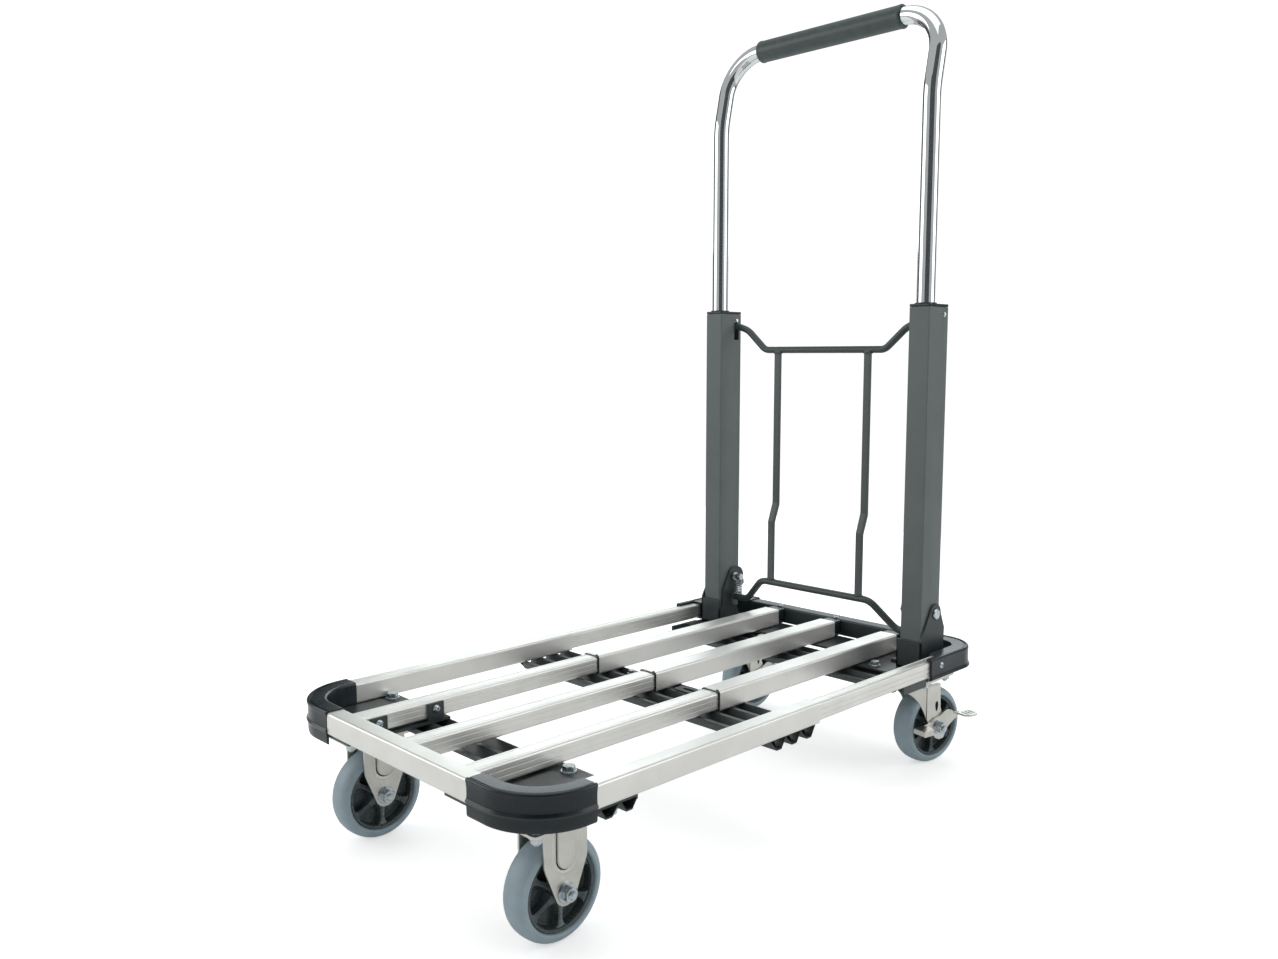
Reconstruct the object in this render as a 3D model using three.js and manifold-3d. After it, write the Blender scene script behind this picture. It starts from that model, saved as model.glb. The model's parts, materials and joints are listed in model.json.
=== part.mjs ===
// A folding platform cart with a telescoping aluminium deck and a fold-down, telescoping handle.
// Millimetres, +Z up. X runs across the cart, and +Y points from the front beam to the handle.
// Inside this file Y is counted from the front face of the front beam with the deck pulled out;
// at the end the whole cart is moved so that its origin lies under the middle of its box.

import * as THREE from "three";
import { mergeVertices } from "three/addons/utils/BufferGeometryUtils.js";
import Module from "manifold-3d";

const wasm = await Module();
wasm.setup();

// ---------------------------------------------------------------- driving dimensions

// Deck
const deckWidth = 420;
const deckLength = 728;
const deckTop = 161;
const railHeight = 23;
const sideRailWidth = 20;
const beamDepth = 20;
const wideTubeWidth = 26;
const wideTubePitch = 98;
const tubeWall = 1.4;
const slideGap = 0.35;
const seatGap = 0.3;
const tubeCornerRadius = 2.6;
const grooveWidth = 1.4;
const grooveDepth = 0.5;

// Telescoping overlap
const frontRailEnd = 390;
const rearRailStart = 302;
const wideTubeStart = 343;
const slimTubeEnd = 475;

// Plastic corners
const frontCornerRadius = 65.5;
const frontCornerAlongBeam = 88;
const rearCornerRadius = 44;
const rearCoverStart = 611;
const rearCoverFull = 640;
const cornerProud = 1.5;
const cornerLip = 2;
const cornerSkirtDrop = 10.5;
const cornerWall = 3.5;
const spigotLength = 14;

// Pressed steel under the deck
const sheet = 3;
const memberSheet = 2;
const memberDepth = 10;
const midMemberDepth = 13;
const frontMember = { start: 76, teeth: 2, pitch: 24.5 };
const midMember = { start: 312, teeth: 3, pitch: 25 };
const rearMember = { start: 563, teeth: 3, pitch: 24.6 };
const memberInset = 3.5;
const frontFloorEnd = 125;
const rearFloorStart = 646;
const rearFloorWingStart = 605;
const tabHeight = 19;
const tabSpans = [
  [28, 48],
  [97, 117],
];

// Wheels and casters
const wheelDiameter = 100;
const tyreWidth = 30;
const tyreSeatDiameter = 78;
const hubWidth = 32.4;
const rimWall = 3.2;
const hubWeb = 5;
const hubBossDiameter = 24;
const spokeCount = 6;
const spokeWidth = 5;
const axleDiameter = 8;
const forkSheet = 2.5;
const forkGap = 33;
const frontWheelX = 150.7;
const frontWheelY = 72;
const frontPlate = { x: 80, y: 105 };
const frontForkWidth = 50;
const forkEndRadius = 12.5;
const rearCasterX = 147;
const rearCasterY = 674;
const rearPlate = { x: 84, y: 66 };
const casterTrail = 28;
const crownTop = 107;
const raceDiameter = 50;
const kingpinDiameter = 10;
const swivelAtRest = { left: -2, right: -10.7 };

// Handle
const postWidth = 29;
const postDepth = 43;
const postWall = 1.5;
const postCentreX = 164.8;
const postFrontY = 636.4;
const postBottom = 160;
const postTop = 583;
const capHeight = 3.3;
const capPlugDepth = 6;
const pivotY = 666;
const pivotZ = 205;
const pivotDiameter = 8;
const pinCollarRadius = 6;
const bracketSheet = 2.5;
const bracketGap = 0.4;
const bracketWebTop = 174;
const handleTubeDiameter = 22;
const handleTubeWall = 1.2;
const handleTubeY = 649.6;
const handleTubeBottom = 450;
const handleBendStart = 825;
const handleBendRadius = 120;
const handleLean = THREE.MathUtils.degToRad(12);
const handleTopZ = 935.6;
const gripDiameter = 29;
const gripLength = 222;

// Release frame
const rodDiameter = 9.2;
const upperRodY = 669;
const upperRodEndZ = 566;
const upperRodMidZ = 532.5;
const lowerRodEndZ = 174;
const lowerRodMidZ = 208.5;
const lowerRodMidY = 658;
const releaseTravel = 14;
const barX = 73;
const bar = { x: 9.5, y: 5 };
const barJogTop = 320;
const barJogBottom = 295;
const springDiameter = 11;
const springWire = 1.4;
const springTurns = 5;

// ---------------------------------------------------------------- derived places

const deckBottom = deckTop - railHeight;
const deckMiddle = (deckTop + deckBottom) / 2;
const halfWidth = deckWidth / 2;
const sideRailX = halfWidth - sideRailWidth / 2;
const wheelRadius = wheelDiameter / 2;
const slimTube = {
  width: wideTubeWidth - 2 * (tubeWall + slideGap),
  height: railHeight - 2 * (tubeWall + slideGap),
};
const slimRail = {
  width: sideRailWidth - 2 * (tubeWall + slideGap),
  height: slimTube.height,
};
const rearBeamStart = deckLength - beamDepth;
const wideTubeEnd = rearBeamStart - 16;
const floorTop = deckBottom - seatGap;
const floorBottom = floorTop - sheet;
const memberTop = floorBottom - seatGap;
const casterPlateTop = memberTop - memberDepth - seatGap;
const casterPlateBottom = casterPlateTop - sheet;
const frontCornerCentre = {
  x: halfWidth + cornerProud - frontCornerRadius,
  y: frontCornerRadius - cornerProud,
};
const rearCornerCentre = {
  x: halfWidth + cornerProud - rearCornerRadius,
  y: deckLength + cornerProud - rearCornerRadius,
};
const frontBeamHalf = halfWidth - frontCornerAlongBeam;
const frontRailStart = frontCornerCentre.y + 9;
const rearBeamHalf = rearCornerCentre.x - 17;
const floorInnerEdge = wideTubePitch - slimTube.width / 2 - seatGap - forkSheet;
const postCentreY = postFrontY + postDepth / 2;
const cheekInner = postCentreX - postWidth / 2 - bracketGap - bracketSheet;
const cheekOuter = postCentreX + postWidth / 2 + bracketGap;
const bracketRear = 690;
const handleTopHalf = gripLength / 2;
const handleCornerRadius = postCentreX - handleTopHalf;

// ---------------------------------------------------------------- materials

function finish(color, roughness, metalness) {
  return new THREE.MeshStandardMaterial({ color, roughness, metalness, flatShading: true });
}

const anodisedAluminium = () => finish("#d6d6cf", 0.42, 0.85);
const zincPlatedSteel = () => finish("#b9bbb4", 0.35, 0.9);
const chromePlatedSteel = () => finish("#d9dcdd", 0.08, 1);
const paintedPostSteel = () => finish("#5a6262", 0.5, 0.2);
const blackPaintedSteel = () => finish("#33393a", 0.5, 0.2);
const blackPlastic = () => finish("#2f3537", 0.55, 0);
const greyRubber = () => finish("#7f8e97", 0.65, 0);
const foamGrip = () => finish("#4b5353", 0.8, 0);

// ---------------------------------------------------------------- solid helpers

function solid(geometry) {
  const bare = geometry.clone();
  bare.deleteAttribute("normal");
  bare.deleteAttribute("uv");
  const merged = mergeVertices(bare, 1e-4);
  return new wasm.Manifold(
    new wasm.Mesh({
      numProp: 3,
      vertProperties: new Float32Array(merged.attributes.position.array),
      triVerts: new Uint32Array(merged.index.array),
    }),
  );
}

function geometryOf(shapeSolid) {
  const mesh = shapeSolid.getMesh();
  const geometry = new THREE.BufferGeometry();
  geometry.setAttribute("position", new THREE.BufferAttribute(mesh.vertProperties, 3));
  geometry.setIndex(new THREE.BufferAttribute(mesh.triVerts, 1));
  const faceted = geometry.toNonIndexed();
  faceted.computeVertexNormals();
  return faceted;
}

function join(...geometries) {
  return geometryOf(geometries.map(solid).reduce((sum, next) => sum.add(next)));
}

function cut(body, ...tools) {
  return geometryOf(tools.map(solid).reduce((rest, tool) => rest.subtract(tool), solid(body)));
}

function common(first, second) {
  return geometryOf(solid(first).intersect(solid(second)));
}

function box(x, y, z) {
  return new THREE.BoxGeometry(x[1] - x[0], y[1] - y[0], z[1] - z[0]).translate(
    (x[0] + x[1]) / 2,
    (y[0] + y[1]) / 2,
    (z[0] + z[1]) / 2,
  );
}

const axisX = new THREE.Vector3(1, 0, 0);
const axisY = new THREE.Vector3(0, 1, 0);
const axisZ = new THREE.Vector3(0, 0, 1);

function extrude(shape, from, to, across, up, along, segments) {
  const geometry = new THREE.ExtrudeGeometry(shape, {
    depth: to - from,
    bevelEnabled: false,
    curveSegments: segments,
    steps: 1,
  });
  geometry.translate(0, 0, from);
  return geometry.applyMatrix4(new THREE.Matrix4().makeBasis(across, up, along));
}

// A shape drawn in (Y, Z) and run along X.
function alongX(shape, from, to, segments = 3) {
  return extrude(shape, from, to, axisY, axisZ, axisX, segments);
}

// A shape drawn in (X, Z) and run along Y.
function alongY(shape, from, to, segments = 1) {
  return extrude(shape, -to, -from, axisX, axisZ, axisY.clone().negate(), segments);
}

// A shape drawn in (X, Y) and run along Z.
function alongZ(shape, from, to, segments = 3) {
  return extrude(shape, from, to, axisX, axisY, axisZ, segments);
}

function disc(radius, u = 0, v = 0, sides = 12) {
  const corners = [];
  for (let i = 0; i < sides; i += 1) {
    const angle = (2 * Math.PI * i) / sides;
    corners.push(new THREE.Vector2(u + radius * Math.cos(angle), v + radius * Math.sin(angle)));
  }
  return new THREE.Shape(corners);
}

function hexagon(acrossFlats) {
  return disc(acrossFlats / 2 / Math.cos(Math.PI / 6), 0, 0, 6);
}

function polygon(points) {
  return new THREE.Shape(points.map(([u, v]) => new THREE.Vector2(u, v)));
}

function roundedRectangle(width, height, radius, u = 0, v = 0, target = new THREE.Shape()) {
  const right = u + width / 2 - radius;
  const left = u - width / 2 + radius;
  const top = v + height / 2 - radius;
  const bottom = v - height / 2 + radius;
  target.absarc(right, bottom, radius, -Math.PI / 2, 0, false);
  target.absarc(right, top, radius, 0, Math.PI / 2, false);
  target.absarc(left, top, radius, Math.PI / 2, Math.PI, false);
  target.absarc(left, bottom, radius, Math.PI, 1.5 * Math.PI, false);
  target.closePath();
  return target;
}

function hollowSection(width, height, wall, radius, u, v) {
  const shape = roundedRectangle(width, height, radius, u, v);
  const innerRadius = Math.max(radius - wall, wall / 2);
  const hole = new THREE.Path();
  roundedRectangle(width - 2 * wall, height - 2 * wall, innerRadius, u, v, hole);
  shape.holes.push(hole);
  return shape;
}

function revolveAboutZ(profile, segments) {
  const points = profile.map(([radius, height]) => new THREE.Vector2(radius, height));
  return new THREE.LatheGeometry(points, segments).rotateX(Math.PI / 2);
}

// A profile of (radius, distance along X) turned about the X axis, facets flat on the ground.
function revolveAboutX(profile, segments) {
  const points = profile.map(([radius, along]) => new THREE.Vector2(radius, along));
  return new THREE.LatheGeometry(points, segments).rotateZ(-Math.PI / 2);
}

function sweep(section, curve, steps) {
  return new THREE.ExtrudeGeometry(section, {
    extrudePath: curve,
    steps,
    bevelEnabled: false,
    curveSegments: 2,
  });
}

function addPiece(parent, name, geometry, material) {
  const mesh = new THREE.Mesh(geometry, material);
  mesh.name = name;
  parent.add(mesh);
  return mesh;
}

function mirrored(geometry) {
  const faceted = geometry.index ? geometry.toNonIndexed() : geometry.clone();
  const flipped = faceted.scale(-1, 1, 1);
  const position = flipped.getAttribute("position");
  for (let i = 0; i < position.count; i += 3) {
    const second = new THREE.Vector3().fromBufferAttribute(position, i + 1);
    const third = new THREE.Vector3().fromBufferAttribute(position, i + 2);
    position.setXYZ(i + 1, third.x, third.y, third.z);
    position.setXYZ(i + 2, second.x, second.y, second.z);
  }
  flipped.computeVertexNormals();
  return flipped;
}

// A piece of the right side and its mirror image on the left.
function addPair(parent, name, geometry, material) {
  addPiece(parent, `${name}_right`, geometry, material());
  addPiece(parent, `${name}_left`, mirrored(geometry), material());
}

// ---------------------------------------------------------------- deck tubes and rails

function plainTube(width, height, x, from, to) {
  return alongY(hollowSection(width, height, tubeWall, tubeCornerRadius, x, deckMiddle), from, to);
}

// The slim tubes carry two grooves on top and three down each side.
function groovedTube(width, height, x, from, to) {
  const top = deckMiddle + height / 2;
  const ends = [from - 1, to + 1];
  const grooves = [];
  for (const offset of [-width / 5, width / 5]) {
    const middle = x + offset;
    grooves.push(
      box([middle - grooveWidth / 2, middle + grooveWidth / 2], ends, [top - grooveDepth, top + 1]),
    );
  }
  for (const side of [-1, 1]) {
    const face = x + (side * width) / 2;
    for (const step of [-1, 0, 1]) {
      const middle = deckMiddle + (step * height) / 5;
      const x0 = Math.min(face - side * grooveDepth, face + side);
      const x1 = Math.max(face - side * grooveDepth, face + side);
      grooves.push(box([x0, x1], ends, [middle - grooveWidth / 2, middle + grooveWidth / 2]));
    }
  }
  return cut(plainTube(width, height, x, from, to), ...grooves);
}

function beam(halfLength, from) {
  const section = hollowSection(
    beamDepth,
    railHeight,
    tubeWall,
    tubeCornerRadius,
    from + beamDepth / 2,
    deckMiddle,
  );
  return alongX(section, -halfLength, halfLength, 1);
}

// The plug in the end of a wide tube bridges the gap to the rear beam.
function tubePlug(x) {
  const clearance = tubeWall + slideGap;
  const collar = roundedRectangle(wideTubeWidth - 2, railHeight - 2, tubeCornerRadius, x, deckMiddle);
  const stem = roundedRectangle(
    wideTubeWidth - 2 * clearance,
    railHeight - 2 * clearance,
    tubeCornerRadius - tubeWall,
    x,
    deckMiddle,
  );
  return join(
    alongY(collar, wideTubeEnd + seatGap, rearBeamStart - seatGap),
    alongY(stem, wideTubeEnd - spigotLength, wideTubeEnd + 1),
  );
}

// ---------------------------------------------------------------- plastic corners

// A closed profile of (offset from the arc centre, height) run along the side, round the corner
// and along the beam.
function sweptCorner(profile, centre, radius, sideEnd, beamEnd, front) {
  const facing = front ? -1 : 1;
  const ring = revolveAboutZ([...profile, profile[0]], 36).translate(centre.x, centre.y, 0);
  const reach = radius + 2;
  const quarterY = [centre.y, centre.y + facing * reach].sort((a, b) => a - b);
  const quarter = common(ring, box([centre.x, centre.x + reach], quarterY, [0, 2 * deckTop]));
  const side = polygon(profile.map(([offset, z]) => [centre.x + offset, z]));
  const sideY = [sideEnd, centre.y + (facing * 1) / 100].sort((a, b) => a - b);
  const cross = polygon(profile.map(([offset, z]) => [centre.y + facing * offset, z]));
  return join(
    quarter,
    alongY(side, sideY[0], sideY[1]),
    alongX(cross, beamEnd, centre.x + 1 / 100),
  );
}

function frontCorner() {
  const outer = frontCornerRadius;
  const inner = outer - cornerProud - sideRailWidth;
  const skirt = deckBottom - cornerSkirtDrop;
  const ridge = deckBottom + 3;
  const block = sweptCorner(
    [
      [inner, deckBottom],
      [outer - cornerWall, deckBottom],
      [outer - cornerWall, skirt],
      [outer - 1.2, skirt],
      [outer - 0.3, skirt + 1.5],
      [outer, ridge - 1],
      [outer + 0.8, ridge],
      [outer, ridge + 1.2],
      [outer, deckTop - 0.6],
      [outer - 2, deckTop + cornerLip],
      [inner + 2, deckTop + cornerLip],
      [inner, deckTop],
    ],
    frontCornerCentre,
    outer,
    frontRailStart - seatGap,
    frontBeamHalf + seatGap,
    true,
  );
  const clearance = tubeWall + slideGap;
  const railSpigot = roundedRectangle(
    sideRailWidth - 2 * clearance,
    railHeight - 2 * clearance,
    tubeCornerRadius - tubeWall,
    sideRailX,
    deckMiddle,
  );
  const beamSpigot = roundedRectangle(
    beamDepth - 2 * clearance,
    railHeight - 2 * clearance,
    tubeCornerRadius - tubeWall,
    beamDepth / 2,
    deckMiddle,
  );
  return join(
    block,
    alongY(railSpigot, frontRailStart - 5, frontRailStart + spigotLength),
    alongX(beamSpigot, frontBeamHalf - spigotLength, frontBeamHalf + 5, 1),
  );
}

function rearCorner() {
  const outer = rearCornerRadius;
  const inner = outer - cornerProud - sideRailWidth;
  const top = deckTop + cornerLip;
  const block = sweptCorner(
    [
      [inner, deckBottom],
      [outer + 1.8, deckBottom],
      [outer + 1.8, deckBottom + 1.5],
      [outer, deckBottom + 6],
      [outer, deckTop - 1],
      [outer - 2, top],
      [inner + 2, top],
      [inner, deckTop],
    ],
    rearCornerCentre,
    outer,
    rearCoverFull,
    rearBeamHalf + seatGap,
    false,
  );
  const outerFace = halfWidth + cornerProud;
  const railFace = sideRailX + slimRail.width / 2 + slideGap;
  const railTop = deckMiddle + slimRail.height / 2 + slideGap;
  const sleeve = polygon([
    [railFace, deckBottom],
    [outerFace + 1.8, deckBottom],
    [outerFace + 1.8, deckBottom + 1.5],
    [outerFace, deckBottom + 6],
    [outerFace, deckTop - 1],
    [outerFace - 2, top],
    [railFace - 5, top],
    [railFace - 5, railTop],
    [railFace, railTop],
  ]);
  const spigot = roundedRectangle(
    slimRail.width - 2 * (tubeWall + slideGap),
    slimRail.height - 2 * (tubeWall + slideGap),
    tubeWall / 2,
    sideRailX,
    deckMiddle,
  );
  return join(
    block,
    alongY(sleeve, rearCoverStart, rearCoverFull + 1),
    alongY(spigot, rearCoverFull - spigotLength, rearCoverFull + 1),
    alongX(
      roundedRectangle(
        beamDepth - 2 * (tubeWall + slideGap),
        railHeight - 2 * (tubeWall + slideGap),
        tubeCornerRadius - tubeWall,
        rearBeamStart + beamDepth / 2,
        deckMiddle,
      ),
      rearBeamHalf - spigotLength,
      rearBeamHalf + 5,
      1,
    ),
  );
}

// ---------------------------------------------------------------- pressed steel

// A corrugated strip across the cart: its upper line drops into each tooth and comes back.
function crossMember({ start, teeth, pitch }, top, depth) {
  const drop = depth - memberSheet;
  const line = [];
  for (let tooth = 0; tooth < teeth; tooth += 1) {
    const y = start + tooth * pitch;
    line.push([y, top], [y + 0.2 * pitch, top]);
    line.push([y + 0.42 * pitch, top - drop], [y + 0.72 * pitch, top - drop]);
  }
  const end = start + teeth * pitch;
  line.push([end - 0.06 * pitch, top], [end, top]);
  const under = line.map(([y, z]) => [y, z - memberSheet]).reverse();
  const reach = halfWidth - memberInset;
  return alongX(polygon([...line, ...under]), -reach, reach);
}

// The front floor plate follows the corner in plan and has two tabs screwed to the tube beside it.
function frontFloorPlate() {
  const skirtInside = frontCornerRadius - cornerWall - 2 * seatGap;
  const { x, y } = frontCornerCentre;
  const plan = new THREE.Shape();
  plan.moveTo(floorInnerEdge, y - skirtInside);
  plan.lineTo(x, y - skirtInside);
  plan.absarc(x, y, skirtInside, -Math.PI / 2, 0, false);
  plan.lineTo(halfWidth - memberInset, y);
  plan.lineTo(halfWidth - memberInset, frontFloorEnd);
  plan.lineTo(floorInnerEdge, frontFloorEnd);
  plan.closePath();
  const tabs = tabSpans.map((span) =>
    box([floorInnerEdge, floorInnerEdge + forkSheet], span, [floorBottom, floorTop + tabHeight]),
  );
  const frontY = frontWheelY - frontPlate.y / 2;
  const foot = box(
    [frontWheelX - frontPlate.x / 2, frontWheelX + 0.4 * frontPlate.x],
    [frontY + 1, frontY + 1 + sheet],
    [casterPlateTop + seatGap, floorBottom + 1],
  );
  return join(alongZ(plan, floorBottom, floorTop, 4), ...tabs, foot);
}

// The rear floor spans the cart, with a wing forward at each side and feet for the caster plates.
function rearFloorPlate() {
  const reach = sideRailX - sideRailWidth / 2 - 1;
  const wingInner = wideTubePitch + 6;
  const rear = rearBeamStart - 1;
  const plan = polygon([
    [-reach, rearFloorWingStart],
    [-wingInner, rearFloorWingStart],
    [-wingInner, rearFloorStart],
    [wingInner, rearFloorStart],
    [wingInner, rearFloorWingStart],
    [reach, rearFloorWingStart],
    [reach, rear],
    [-reach, rear],
  ]);
  const feet = [];
  for (const side of [-1, 1]) {
    const middle = side * rearCasterX;
    for (const y of [rearCasterY - rearPlate.y / 2 + 1, rearCasterY + rearPlate.y / 2 - sheet - 1]) {
      feet.push(
        box(
          [middle - rearPlate.x / 2 + 2, middle + rearPlate.x / 2 - 2],
          [y, y + sheet],
          [casterPlateTop + seatGap, floorBottom + 1],
        ),
      );
    }
  }
  return join(alongZ(plan, floorBottom, floorTop), ...feet);
}

// ---------------------------------------------------------------- pivot bracket

function bracketOuterCheek() {
  const radius = 12.5;
  const shape = new THREE.Shape();
  const base = floorTop + seatGap;
  shape.moveTo(postFrontY - bracketGap - bracketSheet, base);
  shape.lineTo(bracketRear - 2, base);
  shape.lineTo(bracketRear - 3, pivotZ - 20);
  shape.absarc(pivotY, pivotZ, radius, 0, THREE.MathUtils.degToRad(150), false);
  shape.lineTo(postFrontY - bracketGap - bracketSheet, bracketWebTop + 2);
  shape.closePath();
  return alongX(shape, cheekOuter, cheekOuter + bracketSheet, 5);
}

// The inner cheek is cut away behind, where the end of the release rod sits and swings out.
function bracketInnerCheek() {
  const base = floorTop + seatGap;
  const rodRadius = rodDiameter / 2;
  const shape = new THREE.Shape();
  shape.moveTo(postFrontY - bracketGap - bracketSheet, base);
  shape.lineTo(bracketRear - 8, base);
  shape.lineTo(bracketRear - 18, lowerRodEndZ - 3 * rodRadius);
  shape.lineTo(pivotY - 6, lowerRodEndZ - 2 * rodRadius);
  shape.lineTo(pivotY - 6, lowerRodEndZ + rodRadius + 2);
  shape.lineTo(bracketRear - 2, pivotZ - 14);
  shape.absarc(pivotY + 6, pivotZ - 1, 14.5, THREE.MathUtils.degToRad(-10), Math.PI / 2, false);
  shape.absarc(pivotY, pivotZ, 13.5, Math.PI / 2, THREE.MathUtils.degToRad(150), false);
  shape.lineTo(pivotY - 24, pivotZ - 17);
  shape.lineTo(pivotY - 24, bracketWebTop - 8);
  shape.lineTo(postFrontY - bracketGap - bracketSheet, bracketWebTop - 14);
  shape.closePath();
  return alongX(shape, cheekInner, cheekInner + bracketSheet, 5);
}

function pivotBracket() {
  const base = floorTop + seatGap;
  const front = postFrontY - bracketGap;
  const across = [cheekInner, cheekOuter + bracketSheet];
  const floor = box(across, [front - bracketSheet, bracketRear], [base, base + sheet]);
  const web = box(across, [front - bracketSheet, front], [base, bracketWebTop]);
  const foot = box([cheekInner - 18, cheekInner + 1], [front + 14, bracketRear], [base, base + sheet]);
  const body = join(floor, web, foot, bracketOuterCheek(), bracketInnerCheek());
  const hole = alongX(
    disc(pivotDiameter / 2 + seatGap, pivotY, pivotZ),
    cheekInner - 5,
    cheekOuter + 10,
  );
  return cut(body, hole);
}

function pivotPin() {
  const radius = pivotDiameter / 2;
  const outside = cheekOuter + bracketSheet + seatGap;
  const inside = cheekInner - seatGap;
  const profile = [
    [0, inside - 13.5],
    [radius + 1, inside - 13.5],
    [radius + 1, inside - 12],
    [radius, inside - 12],
    [radius, inside - 2.5],
    [pinCollarRadius, inside - 2.5],
    [pinCollarRadius, inside],
    [radius, inside],
    [radius, outside],
    [radius + 2.8, outside],
    [radius + 2, outside + 2],
    [0, outside + 2.8],
  ];
  return revolveAboutX(profile, 16).translate(0, pivotY, pivotZ);
}

// ---------------------------------------------------------------- handle

function post() {
  const section = hollowSection(
    postWidth,
    postDepth,
    postWall,
    2.2,
    postCentreX,
    postCentreY,
  );
  const tube = alongZ(section, postBottom, postTop, 1);
  const pinHole = alongX(disc(pivotDiameter / 2 + seatGap, pivotY, pivotZ), cheekInner, cheekOuter + 5);
  const rodRadius = rodDiameter / 2 + 0.5;
  const slot = box(
    [cheekInner, postCentreX],
    [upperRodY - rodRadius, upperRodY + rodRadius],
    [upperRodEndZ - releaseTravel - rodRadius, upperRodEndZ + rodRadius],
  );
  const rivetHole = alongX(disc(2.8, upperRodY + 0.7, rivetZ()), cheekInner, cheekOuter + 5);
  return cut(tube, pinHole, slot, rivetHole);
}

function rivetZ() {
  return postTop - capPlugDepth - 3;
}

function postRivet() {
  const inside = postCentreX - postWidth / 2 - seatGap;
  const outside = postCentreX + postWidth / 2 + seatGap;
  const profile = [
    [0, inside - 1.6],
    [2.4, inside - 1],
    [3.2, inside],
    [2.4, inside],
    [2.4, outside],
    [3.2, outside],
    [2.4, outside + 1],
    [0, outside + 1.6],
  ];
  return revolveAboutX(profile, 14).translate(0, upperRodY + 0.7, rivetZ());
}

function postCap() {
  const lid = roundedRectangle(postWidth, postDepth, 2.2, postCentreX, postCentreY);
  const clearance = postWall + slideGap;
  const plug = roundedRectangle(
    postWidth - 2 * clearance,
    postDepth - 2 * clearance,
    1,
    postCentreX,
    postCentreY,
  );
  const body = join(
    alongZ(lid, postTop + seatGap, postTop + seatGap + capHeight, 1),
    alongZ(plug, postTop - capPlugDepth, postTop + seatGap + 1, 1),
  );
  const bore = alongZ(
    disc(handleTubeDiameter / 2 + 0.8, postCentreX, handleTubeY, 20),
    postTop - 50,
    postTop + 50,
  );
  return cut(body, bore);
}

// Half of the handle's centre line: up the leg, a slight bend to the rear, and round the corner.
function handleHalfPath(side) {
  const legX = side * postCentreX;
  const bendHeight = handleBendRadius * Math.sin(handleLean);
  const bendSetback = handleBendRadius * (1 - Math.cos(handleLean));
  const lean = new THREE.Vector3(0, Math.sin(handleLean), Math.cos(handleLean));
  const bendEnd = new THREE.Vector3(legX, handleTubeY + bendSetback, handleBendStart + bendHeight);
  const leanLength = (handleTopZ - bendEnd.z) / Math.cos(handleLean);
  const cornerStart = bendEnd.clone().addScaledVector(lean, leanLength - handleCornerRadius);
  const cornerCentre = cornerStart.clone().setX(side * handleTopHalf);
  const legFoot = new THREE.Vector3(legX, handleTubeY, handleTubeBottom);
  const legTop = new THREE.Vector3(legX, handleTubeY, handleBendStart);
  const points = [];
  points.push(legFoot, legTop);
  const bendSteps = 2;
  for (let i = 1; i <= bendSteps; i += 1) {
    const angle = (handleLean * i) / bendSteps;
    const back = handleBendRadius * (1 - Math.cos(angle));
    const rise = handleBendRadius * Math.sin(angle);
    points.push(new THREE.Vector3(legX, handleTubeY + back, handleBendStart + rise));
  }
  const cornerSteps = 7;
  for (let i = 0; i <= cornerSteps; i += 1) {
    const angle = (Math.PI / 2) * (i / cornerSteps);
    const point = cornerCentre.clone();
    point.x += side * handleCornerRadius * Math.cos(angle);
    point.addScaledVector(lean, handleCornerRadius * Math.sin(angle));
    points.push(point);
  }
  return points;
}

// A round tube along a list of points, with a ring of vertices at each point.
class PolylineCurve extends THREE.Curve {
  constructor(points) {
    super();
    this.points = points;
  }

  getPoint(t, target = new THREE.Vector3()) {
    const place = t * (this.points.length - 1);
    const index = Math.min(Math.floor(place), this.points.length - 2);
    return target.lerpVectors(this.points[index], this.points[index + 1], place - index);
  }

  getPointAt(u, target) {
    return this.getPoint(u, target);
  }

  getTangent(t, target = new THREE.Vector3()) {
    const last = this.points.length - 1;
    const index = Math.round(t * last);
    const before = this.points[Math.max(index - 1, 0)];
    const after = this.points[Math.min(index + 1, last)];
    const here = this.points[index];
    const arriving = here.clone().sub(before).normalize();
    const leaving = after.clone().sub(here).normalize();
    return target.copy(arriving).add(leaving).normalize();
  }

  getTangentAt(u, target) {
    return this.getTangent(u, target);
  }
}

function tubeThrough(points, section) {
  return sweep(section, new PolylineCurve(points), points.length - 1);
}

function handlePoints() {
  return [...handleHalfPath(-1), ...handleHalfPath(1).reverse()];
}

function handleTube() {
  const section = disc(handleTubeDiameter / 2, 0, 0, 12);
  section.holes.push(disc(handleTubeDiameter / 2 - handleTubeWall, 0, 0, 8));
  return tubeThrough(handlePoints(), section);
}

function handleTopY() {
  const bendHeight = handleBendRadius * Math.sin(handleLean);
  const bendSetback = handleBendRadius * (1 - Math.cos(handleLean));
  const leanRise = handleTopZ - handleBendStart - bendHeight;
  return handleTubeY + bendSetback + leanRise * Math.tan(handleLean);
}

function grip() {
  const radius = gripDiameter / 2;
  const bore = handleTubeDiameter / 2 + seatGap;
  const half = gripLength / 2;
  const profile = [
    [bore, -half],
    [radius - 2.2, -half],
    [radius - 0.6, -half + 1.4],
    [radius, -half + 4],
    [radius, half - 4],
    [radius - 0.6, half - 1.4],
    [radius - 2.2, half],
    [bore, half],
    [bore, -half],
  ];
  return revolveAboutX(profile, 24).translate(0, handleTopY(), handleTopZ);
}

// ---------------------------------------------------------------- release frame

// Points of a rod with a rounded bend at each inner corner.
function roundedRoute(corners, bend) {
  const points = [corners[0]];
  for (let i = 1; i < corners.length - 1; i += 1) {
    const corner = corners[i];
    const before = corner.clone().sub(corners[i - 1]).normalize();
    const after = corners[i + 1].clone().sub(corner).normalize();
    const start = corner.clone().addScaledVector(before, -bend);
    const end = corner.clone().addScaledVector(after, bend);
    const curve = new THREE.QuadraticBezierCurve3(start, corner, end);
    points.push(...curve.getPoints(3));
  }
  points.push(corners[corners.length - 1]);
  return points;
}

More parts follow.
